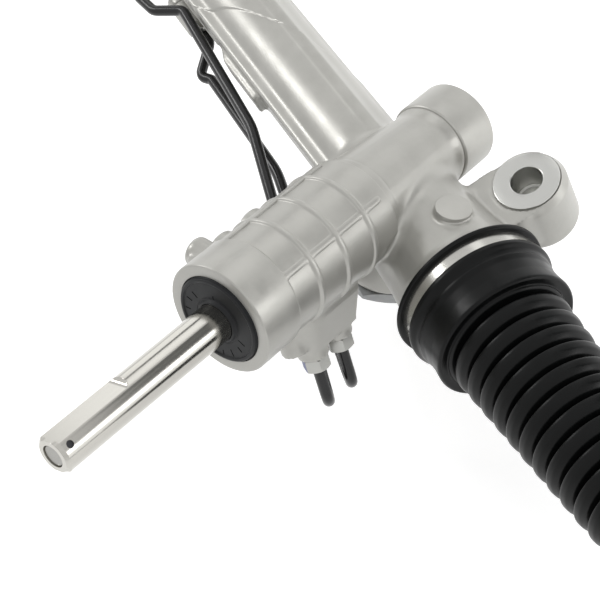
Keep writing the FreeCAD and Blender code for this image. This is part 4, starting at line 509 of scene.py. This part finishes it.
def clear_bores(bm):
    """Draws the casting back from the mounts' rings and bores, and tapers the bosses' free edges."""
    for centre in MOUNT_CENTRES.values():
        for vert in bm.verts:
            reach = vert.co - centre
            height = reach.z / MM
            reach.z = 0.0
            away = reach.length / MM
            if away > BOSS_REACH or height < BOSS_BOTTOM:
                continue
            if away < RING_REACH and height > RING_BOTTOM:
                vert.co.z = min(vert.co.z, centre.z - RING_DROP * MM)
            free = min(max((reach.y / MM + FREE_START) / FREE_RUN, 0.0), 1.0)
            widest = EDGE_RADIUS + EDGE_TAPER * max(-EDGE_TOP - height, 0.0)
            if away > widest and height > EDGE_BOTTOM and free > 0.0:
                pulled = reach * (1.0 + (widest / away - 1.0) * free)
                vert.co.x = centre.x + pulled.x
                vert.co.y = centre.y + pulled.y
            wall = WIDE_BORE if height > BORE_STEP else NARROW_BORE
            if 1e-3 < away < wall:
                grown = reach.normalized() * wall * MM
                vert.co.x = centre.x + grown.x
                vert.co.y = centre.y + grown.y


def mount_liner(centre):
    """Machined face ring with its stepped bolt bore."""
    outline = [(0.0, 16.4), (0.0, 8.2), (-0.5, 7.7), (-15.0, 7.7), (-15.0, 6.3), (-32.7, 6.3), (-32.7, 7.4),
               (-16.0, 7.4), (-16.0, 9.4), (-1.6, 9.4), (-1.6, 16.4)]
    upright = axis_frame(centre, Vector((0, 0, 1)), Vector((1, 0, 0)))
    return spun(rounded(outline, 0.25, 2), 96, upright)


def open_rounded(corners, radius, segments=4):
    """Open outline with its corners cut by short arcs and its two ends kept."""
    each = segments + 1
    return [corners[0]] + rounded(corners, radius, segments)[each:-each] + [corners[-1]]


def valve_skin_outline():
    """Valve housing's barrel from its shoulder, with three ring ribs, front step and crisp front rim."""
    skin = 0.05
    barrel, front = 26.9 + skin, 28.2 + skin
    rib = [(3.0, 0.0), (1.7, 0.1), (0.9, 1.3)]
    outline = [(30.0, 22.4), (30.0, 23.7), (33.5, 24.45 + skin)]
    outline += open_rounded([(34.0, 24.49 + skin), (37.0, 24.6), (38.2, barrel), (44.0, barrel)], 0.4)
    for station in (55.4, 75.4, 94.9):
        outline += open_rounded([(station - away, barrel + rise) for away, rise in rib]
                                + [(station + away, barrel + rise) for away, rise in rib[::-1]], 0.9)
    outline += open_rounded([(108.0, barrel), (111.0, barrel), (111.7, barrel - 0.5), (112.4, front),
                             (134.5, front), (135.05, front - 0.55), (135.05, 22.5), (131.0, 22.5)], 0.3, 3)
    return outline + [(131.0, 22.4)]


def cap_skin_outline():
    """Closed end's collar, its edge to the neck crisp."""
    edge = 22.45
    return open_rounded([(-24.5, 19.5), (-24.5, 21.75), (-25.4, edge), (-47.6, edge), (-49.2, edge - 1.6),
                         (-49.2, 17.0), (-45.0, 17.0)], 0.4, 4) + [(-45.0, 19.5)]


def button_outline():
    """Flat round button on the barrel, its edge crisp."""
    return [(28.0, 0.0)] + open_rounded([(28.0, 8.79), (34.25, 8.79), (34.25, 0.0)], 0.45)


def long_rib():
    """Rib along the valve housing, from its front step to the neck, with rounded shoulders."""
    turn = PINION @ Matrix.Rotation(math.radians(39.8), 4, "X")
    bm = bmesh.new()
    start, end = 44.0, 112.6
    size = Vector((end - start, 5.0, 4.0)) * MM
    middle = Vector(((start + end) / 2, 0, 28.05 - 2.0)) * MM
    box = bmesh.ops.create_cube(bm, size=1.0)["verts"]
    bmesh.ops.transform(bm, matrix=Matrix.Translation(middle) @ Matrix.Diagonal(size.to_4d()), verts=box)
    crown = [edge for edge in bm.edges if all(vert.co.z > middle.z for vert in edge.verts)]
    bmesh.ops.bevel(bm, geom=crown, offset=1.1 * MM, offset_type="OFFSET", affect="EDGES", segments=5,
                    profile=0.5, material=-1)
    bmesh.ops.transform(bm, matrix=turn, verts=bm.verts)
    return bm


class RACK_OT_casting(bpy.types.Operator):
    """Casting with soft cast fillets, and the machined rings and bores of its mounts"""
    bl_idname = "steering_rack.casting"
    bl_label = "Casting"

    def execute(self, context):
        look = context.scene.steering_rack
        split_x = (CAST_SPLIT_X + RACK_PLACE[0]) * MM
        for name, above, voxel, turn in (("housing_pinion_end", True, look.voxel, PINION),
                                         ("housing_tube_end", False, look.voxel * TUBE_COARSER, RACK)):
            mesh = cast_half(above, split_x, voxel, turn)
            soften(mesh, look)
            bm = bmesh.new()
            bm.from_mesh(mesh)
            bpy.data.meshes.remove(mesh)
            clear_bores(bm)
            bm = thin_inside(bm, BORE_SHARE)
            piece = finished(bm, name, FINISHES["cast_aluminium"], 60.0)
            settle(piece, "housing", "cast_aluminium", "rack_housing")
        for name, outline in (("valve_barrel_skin", valve_skin_outline()),
                              ("closed_end_skin", cap_skin_outline())):
            piece = finished(spun(outline, 192, PINION), name, FINISHES["cast_aluminium"], 40.0)
            settle(piece, "housing", "cast_aluminium")
        button = spun(button_outline(), 96, BUTTON)
        for name, bm in (("long_rib", long_rib()), ("barrel_button", button)):
            settle(finished(bm, name, FINISHES["cast_aluminium"], 40.0), "housing", "cast_aluminium")
        for side, centre in MOUNT_CENTRES.items():
            piece = finished(mount_liner(centre), "mount_ring_" + side, FINISHES["machined_aluminium"])
            settle(piece, "housing", "machined_aluminium")
        return {"FINISHED"}


# Bellows

def fold_corners(start, pitch, crest, depth):
    """Corners of one fold from root to root: steep near side, broad crown that falls away."""
    shares = ((0.0, 0.0), (0.1, 0.55), (0.2, 0.97), (0.32, 1.0), (0.6, 0.93), (0.84, 0.62))
    return [(start + pitch * along, crest - depth + depth * height) for along, height in shares]


def bellows_outline(look, cuff_share, length):
    """Outside and inside outline of a bellows, stations from its cuff's lip."""
    seat = 34.02 * cuff_share
    cuff = ((0.0, 38.0), (0.3, 39.3), (1.3, 39.5), (2.7, 39.2), (2.95, 36.0), (9.5, 36.0), (9.7, 38.2),
            (12.4, 38.5), (14.4, 36.7), (16.4, 36.2), (17.3, 36.5), (20.0, 35.7), (26.0, 35.6), (31.0, 36.2),
            (33.2, 36.4), (34.4, 35.4), (33.8, 31.6), (35.0, 31.3), (35.7, 30.3), (35.9, 28.0))
    corners = [(station, radius * cuff_share) for station, radius in cuff]
    small_start = length - 14.0
    first_crest = 42.2
    pitch = (small_start - first_crest) / look.folds
    crests = []
    for fold in range(look.folds):
        share = fold / (look.folds - 1)
        crests.append((look.first_crest + (look.last_crest - look.first_crest) * share) / MM)
        corners += fold_corners(first_crest + pitch * (fold - 0.5), pitch, crests[-1], look.fold_depth / MM)
    small = 7.52
    corners += [(small_start - pitch * 0.1, small + 8.0), (small_start + 3.0, small + 3.4),
                (small_start + 4.5, small + 2.6), (length - 3.2, small + 2.6), (length - 2.4, small + 3.6),
                (length - 0.3, small + 3.6), (length - 0.1, small + 0.4)]
    outside = open_rounded(corners, 0.75, 3)
    inside = [(0.0, seat), (14.6, seat), (33.0, seat * 0.94)]
    for fold, crest in enumerate(crests):
        station = first_crest + pitch * fold
        inside += [(station - pitch / 2, crest - look.fold_depth / MM - 1.8), (station, crest - 2.0)]
    inside += [(small_start - pitch * 0.5, small + 4.0), (small_start + 3.0, small), (length, small)]
    return outside, inside


def split_outline(outside, inside, station, outer):
    """Closed outline of the part before or after a station."""
    if outer:
        kept_out = [point for point in outside if point[0] >= station]
        kept_in = [point for point in inside if point[0] >= station]
    else:
        kept_out = [point for point in outside if point[0] < station]
        kept_in = [point for point in inside if point[0] < station]
    edge_out = at_station(outside, station)
    edge_in = at_station(inside, station)
    if outer:
        return [edge_in, edge_out] + kept_out + kept_in[::-1]
    return kept_out + [edge_out, edge_in] + kept_in[::-1]


def at_station(outline, station):
    for (x0, r0), (x1, r1) in zip(outline, outline[1:]):
        if x0 <= station <= x1 and x1 > x0:
            return station, r0 + (r1 - r0) * (station - x0) / (x1 - x0)
    raise ValueError("no point of the outline at that station")


class RACK_OT_bellows(bpy.types.Operator):
    """Moulded bellows of both sides, each spun as a main piece and its small end"""
    bl_idname = "steering_rack.bellows"
    bl_label = "Bellows"

    def execute(self, context):
        look = context.scene.steering_rack
        sides = (("pinion_side", 1, NEAR_CUFF_X, NEAR_END_X, NEAR_SPLIT_X, 1.0),
                 ("far_side", -1, FAR_CUFF_X, FAR_END_X, FAR_SPLIT_X, FAR_CUFF_SHARE))
        for side, outward, cuff_x, end_x, split_x, cuff_share in sides:
            length = abs(end_x - cuff_x)
            outside, inside = bellows_outline(look, cuff_share, length)
            station = abs(split_x - cuff_x)
            placement = RACK @ axis_frame(Vector((cuff_x * MM, 0, 0)), Vector((outward, 0, 0)),
                                          Vector((0, 0, 1)))
            main = finished(spun(split_outline(outside, inside, station, False), look.steps, placement),
                            "bellows_" + side, FINISHES["boot_rubber"], 60.0)
            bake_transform(main)
            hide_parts("boot_" + side)
            end = finished(spun(split_outline(outside, inside, station, True), look.steps, placement),
                           "bellows_end_" + side, FINISHES["boot_rubber"], 60.0)
            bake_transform(end)
            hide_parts("boot_" + side)
        return {"FINISHED"}


class RACK_OT_bands(bpy.types.Operator):
    """Stainless band clamps round the bellows' cuffs, each with its crimped ear"""
    bl_idname = "steering_rack.bands"
    bl_label = "Band clamps"

    def execute(self, context):
        for side in ("pinion_side", "far_side"):
            smooth_copy("boot_band_" + side)
            smooth_copy("boot_clip_" + side)
        return {"FINISHED"}


# Front of the valve housing

SEAL_FACE = 136.1
# Angle about the shaft, inner and outer radius of each mark
SEAL_MARKS = ((62.0, 13.5, 17.2), (80.5, 15.2, 18.4), (101.5, 16.0, 19.1), (13.0, 11.9, 13.7),
              (251.5, 12.8, 16.8), (234.5, 14.8, 17.8), (211.5, 15.3, 19.1), (192.5, 16.8, 19.2))


def seal_outline():
    """Dust seal with its raised rim, dished face and lip round the shaft."""
    face, bore, lip = SEAL_FACE, 10.08, 9.62
    return [(126.4, bore)] + open_rounded(
        [(126.4, 22.4), (134.6, 22.4), (135.3, 21.95), (face, 21.85), (face + 0.5, 21.3), (face + 0.5, 20.2),
         (face - 0.15, 19.8), (face - 0.05, 19.3), (face, 12.0), (face - 0.25, 11.6), (face + 0.2, 11.1),
         (face + 0.9, 10.7), (face + 1.5, 10.3), (face + 1.6, lip), (face + 0.7, lip),
         (face + 0.5, bore)], 0.25, 3)


def seal_marks():
    """Short moulded marks on the seal's face, as thin bars barely proud of it that carry a painted shade of
    grooves.
    """
    bm = bmesh.new()
    width, depth = 0.5, 0.4
    for angle, inner, outer in SEAL_MARKS:
        placed = PINION @ Matrix.Rotation(math.radians(angle), 4, "X") @ Matrix.Translation(
            Vector((SEAL_FACE + 0.04 - depth / 2, 0, (inner + outer) / 2)) * MM)
        bar = Matrix.Diagonal((depth, width, outer - inner, 1.0))
        bmesh.ops.create_cube(bm, size=MM, matrix=placed @ bar)
    return bm


class RACK_OT_seal(bpy.types.Operator):
    """Dust seal standing a little proud of the casting's rim, with its lip and short moulded marks in painted
    groove shade
    """
    bl_idname = "steering_rack.seal"
    bl_label = "Dust seal"

    def execute(self, context):
        piece = finished(spun(seal_outline(), 128, PINION), "dust_seal", FINISHES["seal_rubber"], 50.0)
        settle(piece, "housing", "seal_rubber", "input_shaft_seal")
        # The marks' near-black colour is painted shade of grooves
        settle(finished(seal_marks(), "dust_seal_marks", FINISHES["painted_groove_shade"]), "housing", "seal_rubber")
        return {"FINISHED"}


# Input shaft, its outer part modelled here: stations and radii in mm, angles about its axis

SHAFT_RADIUS, SHAFT_BORE, SHAFT_CUT, SHAFT_END = 9.5, 5.51, 130.0, 239.0
FLAT_START, FLAT_DEPTH, FLAT_RUNOUT, FLAT_ANGLE = 197.8, 2.0, 3.5, 22.0
PIN_STATION, PIN_ANGLE, PIN_HOLE, PIN_HOLE_DEPTH = 233.9, -35.0, 1.75, 3.5
BORE_MARGIN = 0.5    # vertices nearer to the bore than this stay round


def stations(start, end, step):
    """Even stations about a step apart, without the end."""
    count = max(round((end - start) / step), 1)
    return [start + (end - start) * k / count for k in range(count)]


def flat_height(station):
    """Distance of a milled flat from the shaft's axis, with its round run-out."""
    back = FLAT_START - station
    if back <= 0:
        return SHAFT_RADIUS - FLAT_DEPTH
    if back >= FLAT_RUNOUT:
        return SHAFT_RADIUS
    return min(SHAFT_RADIUS - FLAT_DEPTH + FLAT_RUNOUT - (FLAT_RUNOUT ** 2 - back ** 2) ** 0.5, SHAFT_RADIUS)


def outer_shaft():
    """Shaft outside the housing: two milled flats, end chamfer and the cross pin's hole."""
    run = stations(137.5, 193.0, 3.0) + stations(193.0, 199.0, 0.3) + stations(199.0, 231.0, 3.0)
    run += stations(231.0, 237.4, 0.32)
    outline = [(SHAFT_CUT, SHAFT_BORE), (SHAFT_CUT, 10.0), (136.4, 10.0), (136.55, 9.8),
               (136.6, SHAFT_RADIUS)]
    outline += [(station, SHAFT_RADIUS) for station in run]
    outline += [(237.4, SHAFT_RADIUS), (238.9, 8.0), (SHAFT_END, 7.8), (SHAFT_END, SHAFT_BORE)]
    bm = spun(outline, 180, Matrix())
    for vert in bm.verts:
        angle = math.atan2(-vert.co.y, vert.co.z)
        radius = vert.co.yz.length / MM
        for turn in (FLAT_ANGLE, FLAT_ANGLE + 180.0):
            facing = math.cos(angle - math.radians(turn))
            if radius > SHAFT_BORE + BORE_MARGIN and facing > 0.1:
                shrink = min(flat_height(vert.co.x / MM) / facing / radius, 1.0)
                vert.co.y *= shrink
                vert.co.z *= shrink
    drill_pin_hole(bm)
    bmesh.ops.transform(bm, matrix=PINION, verts=bm.verts)
    return bm


def drill_pin_hole(bm):
    """Opens the cross pin's hole on both sides of the shaft and gives it a wall."""
    turn = math.radians(PIN_ANGLE)
    drill = Vector((0, -math.sin(turn), math.cos(turn)))
    side = Vector((0, math.cos(turn), math.sin(turn)))

    def offset(vert):
        return Vector((vert.co.x - PIN_STATION * MM, vert.co.dot(side)))

    inside = [vert for vert in bm.verts
              if vert.co.yz.length > (SHAFT_BORE + BORE_MARGIN) * MM and offset(vert).length < PIN_HOLE * MM]
    bmesh.ops.delete(bm, geom=inside, context="VERTS")
    rim = [edge for edge in bm.edges if edge.is_boundary]
    for vert in {vert for edge in rim for vert in edge.verts}:
        around = offset(vert).normalized() * PIN_HOLE * MM
        depth = ((SHAFT_RADIUS * MM) ** 2 - around.y ** 2) ** 0.5 * math.copysign(1, vert.co.dot(drill))
        vert.co = Vector((PIN_STATION * MM + around.x, 0, 0)) + side * around.y + drill * depth
    wall = bmesh.ops.extrude_edge_only(bm, edges=rim)["geom"]
    for vert in [item for item in wall if isinstance(item, bmesh.types.BMVert)]:
        vert.co -= drill * math.copysign(PIN_HOLE_DEPTH * MM, vert.co.dot(drill))


def inner_shaft():
    """Shaft's part inside the housing, cut square where the outer part begins."""
    bm = merged("input_shaft")
    cut_square(bm, PINION @ Vector((SHAFT_CUT * MM, 0, 0)), PINION_AXIS)
    return bm


class RACK_OT_shaft(bpy.types.Operator):
    """Ground input shaft with its flats, cross pin and the torsion bar's end"""
    bl_idname = "steering_rack.shaft"
    bl_label = "Input shaft"

    def execute(self, context):
        for name, bm in (("input_shaft_outer", outer_shaft()), ("input_shaft_inner", inner_shaft())):
            piece = finished(bm, name, FINISHES["ground_steel"], 24.0)
            settle(piece, BODY_OF["input_shaft"], "ground_steel", "input_shaft")
        for node in ("torsion_bar", "torsion_pin"):
            smooth_copy(node, 24.0)
        return {"FINISHED"}


# Pipes and ends

PAINTED_STATIONS = (80, 97)        # where the first tube nut stands along the pinion
PAINTED_FACING, PAINTED_AREA = -0.55, 2.0 * MM * MM


class RACK_OT_pipes(bpy.types.Operator):
    """Coated transfer pipes and their plated tube nuts, the first nut's left flats painted blue"""
    bl_idname = "steering_rack.pipes"
    bl_label = "Pipes and nuts"

    def execute(self, context):
        for node in ("transfer_pipe_near", "transfer_pipe_far"):
            smooth_copy(node, 28.0)
        nuts = smooth_copy("pipe_nuts", 28.0)
        nuts.data.materials.append(FINISHES["marking_paint"])
        inverse = PINION.inverted()
        marked = Vector((0, 0, 0))
        for face in nuts.data.polygons:
            at_nut = PAINTED_STATIONS[0] < (inverse @ face.center).x / MM < PAINTED_STATIONS[1]
            if at_nut and face.normal.dot(CAMERA_RIGHT) < PAINTED_FACING and face.area > PAINTED_AREA:
                face.material_index = 1
                marked += face.normal * face.area
        if marked.length == 0:
            raise RuntimeError("no flat of the first nut faces left")
        return {"FINISHED"}


class RACK_OT_ends(bpy.types.Operator):
    """Tie rods, ball sockets, nuts, plugs and every piece inside the casting"""
    bl_idname = "steering_rack.ends"
    bl_label = "Tie rods and inner pieces"

    def execute(self, context):
        outer = ("tie_rod_pinion_side", "tie_rod_far_side", "jam_nut_pinion_side", "jam_nut_far_side",
                 "socket_pinion_side", "socket_far_side", "guide_lock_nut", "guide_plug", "pinion_end_plug")
        for node in outer:
            smooth_copy(node)
        for node, thing in frame["nodes"].items():
            thing.data.materials.clear()
            thing.data.materials.append(FINISHES[SLOT_OF[node]])
        return {"FINISHED"}


# Studio

CAMERA_PLACE = (0.481647, -0.128996, 0.655493)
CAMERA_RIGHT = Vector((0.456874, 0.822795, -0.338046))
CAMERA_UP = Vector((-0.651113, 0.568255, 0.503128))
CAMERA_BACK = Vector((0.606067, -0.00976, 0.795353))
CAMERA_LENS, SENSOR_WIDTH = 102.687, 36.0
FLOOR_DROP, FLOOR_HALF = 0.02, 6.0

# Name, direction along the camera's axes, size, power, and whether metal mirrors it
LAMP_TARGET, LAMP_DISTANCE = Vector((0.02, -0.06, 0.0)), 1.6
LAMPS = (("right_lamp", (0.98, 0.0, 0.2), (0.5, 1.2), 7.0, True),
         ("top_lamp", (0.2, 0.95, 0.25), (1.3, 0.8), 9.0, False),
         ("left_lamp", (-0.82, 0.56, 0.1), (0.3, 0.6), 5.0, True),
         ("front_lamp", (0.2, 0.15, 0.95), (1.6, 1.2), 9.0, False))

# Grey flags and a glowing card, placed for the shaft and seen only in reflections:
# name, angle about the shaft, width, distance and glow
REFLECTORS = (("studio_flag_high", -30.0, 0.85, 1.2, 0.0),
              ("studio_flag_side", 42.0, 0.2, 1.2, 0.0),
              ("studio_card_top", 42.0, 1.9, 1.4, 1.5))
REFLECTOR_STATION, REFLECTOR_LENGTH = 190, 0.34
MIRRORED_WAY = Vector((-0.567, 0, 0.8235))    # where the shaft mirrors the camera to, before its turn


def seen_directly(material):
    """1 for camera, mirror and transmission rays, 0 for the light that falls on the object."""
    path = add(material, "ShaderNodeLightPath")
    seen = add(material, "ShaderNodeMath", operation="MAXIMUM", links={
        0: path.outputs["Is Camera Ray"], 1: path.outputs["Is Glossy Ray"]})
    seen = add(material, "ShaderNodeMath", operation="MAXIMUM", links={
        0: seen.outputs["Value"], 1: path.outputs["Is Transmission Ray"]})
    return seen.outputs["Value"]


def studio_surface(name, colour, glow):
    """Matt white that camera and mirror rays see a little brighter, so it stays white yet keeps shadows."""
    material, shader, _ = start_material(name, colour, 0.0, 0.9)
    strength = add(material, "ShaderNodeMath", {0: seen_directly(material)}, operation="MULTIPLY")
    strength.inputs[1].default_value = glow
    link(material, strength.outputs["Value"], shader, "Emission Strength")
    shader.inputs["Emission Color"].default_value = (1.0, 1.0, 1.0, 1.0)
    return material


def lamp(name, toward, distance, size, power, target):
    """Soft rectangular lamp that looks at the target from a direction."""
    data = bpy.data.lights.new(name, "AREA")
    data.shape = "RECTANGLE"
    data.size, data.size_y = size
    data.energy = power
    thing = bpy.data.objects.new(name, data)
    thing.location = target + toward.normalized() * distance
    thing.rotation_euler = toward.to_track_quat("Z", "Y").to_euler()
    bpy.context.collection.objects.link(thing)
    return thing


def reflector(name, angle, width, away, glow):
    """Card beside the shaft, seen only in reflections."""
    turn = PINION.to_3x3() @ Matrix.Rotation(math.radians(angle), 3, "X")
    toward = (turn @ MIRRORED_WAY).normalized()
    along = turn @ Vector((1, 0, 0))
    along = (along - toward * along.dot(toward)).normalized()
    middle = PINION @ Vector((REFLECTOR_STATION * MM, 0, 0)) + toward * away
    bm = bmesh.new()
    bmesh.ops.create_grid(bm, x_segments=1, y_segments=1, size=0.5, matrix=axis_frame(middle, along, toward)
                          @ Matrix.Diagonal((REFLECTOR_LENGTH, width, 1, 1)))
    cloth, shader, _ = start_material(name + "_cloth", "#787878", 0.0, 0.9)
    shader.inputs["Emission Color"].default_value = (1.0, 1.0, 1.0, 1.0)
    shader.inputs["Emission Strength"].default_value = glow
    card = finished(bm, name, cloth)
    card.visible_camera = False
    card.visible_diffuse = False
    card.visible_shadow = False


def studio_world():
    """White surroundings that light the object less than the camera sees them."""
    world = bpy.data.worlds.new("studio_world")
    world.use_nodes = True
    sky = world.node_tree.nodes["Background"]
    strength = add(world, "ShaderNodeMapRange", {"Value": seen_directly(world)}, **{
        "To Min": 0.55, "To Max": 1.0})
    link(world, strength.outputs["Result"], sky, "Strength")
    sky.inputs["Color"].default_value = (1.0, 1.0, 1.0, 1.0)
    return world


class RACK_OT_stage(bpy.types.Operator):
    """Pale floor, white surroundings, soft lamps, reflecting cards and the camera"""
    bl_idname = "steering_rack.stage"
    bl_label = "Studio"

    def execute(self, context):
        scene = context.scene
        scene.view_settings.view_transform = "Standard"
        bm = bmesh.new()
        bmesh.ops.create_grid(bm, x_segments=1, y_segments=1, size=FLOOR_HALF,
                              matrix=Matrix.Translation((0, 0, CAD_BOX[0][2] - FLOOR_DROP)))
        floor = finished(bm, "studio_floor", studio_surface("studio_floor_paint", "#F2F2F2", 0.5))
        floor.visible_shadow = False
        scene.world = studio_world()
        for name, (right, up, back), size, power, mirrored in LAMPS:
            toward = CAMERA_RIGHT * right + CAMERA_UP * up + CAMERA_BACK * back
            lamp(name, toward, LAMP_DISTANCE, size, power, LAMP_TARGET).visible_glossy = mirrored
        for row in REFLECTORS:
            reflector(*row)
        data = bpy.data.cameras.new("photo_camera")
        data.sensor_width = SENSOR_WIDTH
        data.lens = CAMERA_LENS
        data.clip_end = 50.0
        camera = bpy.data.objects.new("photo_camera", data)
        turn = Matrix((CAMERA_RIGHT, CAMERA_UP, CAMERA_BACK)).transposed().to_4x4()
        camera.matrix_world = Matrix.Translation(CAMERA_PLACE) @ turn
        context.collection.objects.link(camera)
        scene.camera = camera
        return {"FINISHED"}


# Add-on

class RACK_OT_finishes(bpy.types.Operator):
    """Materials of every piece, one for each slot of the record"""
    bl_idname = "steering_rack.finishes"
    bl_label = "Finishes"

    def execute(self, context):
        FINISHES.update(make_materials(context.scene.steering_rack))
        return {"FINISHED"}


def length_property(name, description, millimetres):
    return bpy.props.FloatProperty(name=name, description=description, default=millimetres * MM,
                                   unit="LENGTH", precision=5)


def count_property(name, description, count, least):
    return bpy.props.IntProperty(name=name, description=description, default=count, min=least)


def colour_property(name, description, code):
    return bpy.props.FloatVectorProperty(name=name, description=description, default=linear(code),
                                         subtype="COLOR", size=4, min=0.0, max=1.0)


class SteeringRackLook(bpy.types.PropertyGroup):
    """Sizes and colours that a user would change."""
    voxel: length_property("Casting mesh", "Spacing of the casting's even mesh", 0.9)
    ease_rounds: count_property("Edge easing", "Rounds that ease every cast edge", 2, 0)
    fillet_rounds: count_property("Fillets", "Rounds that fill the hollow corners", 12, 0)
    neck_rounds: count_property("Neck fillet", "Rounds that fill the hollow at the neck", 60, 0)
    folds: count_property("Folds", "Folds of each bellows", 12, 2)
    steps: count_property("Bellows steps", "Steps round each bellows", 128, 24)
    first_crest: length_property("First crest", "Radius of the crest next to the collar", 31.0)
    last_crest: length_property("Last crest", "Radius of the crest next to the small end", 25.0)
    fold_depth: length_property("Fold depth", "Crest to root of a fold", 6.0)
    cast_dark: colour_property("Casting, dark", "Darker patches of the cast aluminium", "#A5A49F")
    cast_light: colour_property("Casting, light", "Lighter patches of the cast aluminium", "#ADACA7")
    shaft_dark: colour_property("Shaft, dark", "Darker streaks of the ground shaft", "#B4B2AC")
    shaft_light: colour_property("Shaft, light", "Lighter streaks of the ground shaft", "#BCBAB4")
    rubber_dark: colour_property("Bellows, dark", "Darker patches of the bellows", "#060707")
    rubber_light: colour_property("Bellows, light", "Lighter patches of the bellows", "#0A0B0B")
    pipe_dark: colour_property("Pipes, dark", "Darker patches of the pipes' coat", "#0B0B0C")
    pipe_light: colour_property("Pipes, light", "Lighter patches of the pipes' coat", "#121213")


class RACK_PT_panel(bpy.types.Panel):
    """Lists the pieces of the steering rack"""
    bl_idname = "RACK_PT_panel"
    bl_label = "Steering rack"
    bl_space_type = "VIEW_3D"
    bl_region_type = "UI"
    bl_category = "Steering rack"

    def draw(self, context):
        look = context.scene.steering_rack
        for key in SteeringRackLook.__annotations__:
            self.layout.prop(look, key)
        for step in STEPS:
            self.layout.operator(step.bl_idname)


STEPS = (RACK_OT_finishes, RACK_OT_casting, RACK_OT_bellows, RACK_OT_bands, RACK_OT_seal, RACK_OT_shaft,
         RACK_OT_pipes, RACK_OT_ends, RACK_OT_stage)
CLASSES = (SteeringRackLook,) + STEPS + (RACK_PT_panel,)


def register():
    for cls in CLASSES:
        bpy.utils.register_class(cls)
    bpy.types.Scene.steering_rack = bpy.props.PointerProperty(type=SteeringRackLook)


def unregister():
    del bpy.types.Scene.steering_rack
    for cls in reversed(CLASSES):
        bpy.utils.unregister_class(cls)


def main():
    register()
    for step in STEPS:
        group, name = step.bl_idname.split(".")
        getattr(getattr(bpy.ops, group), name)()
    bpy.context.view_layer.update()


if __name__ == "__main__":
    main()
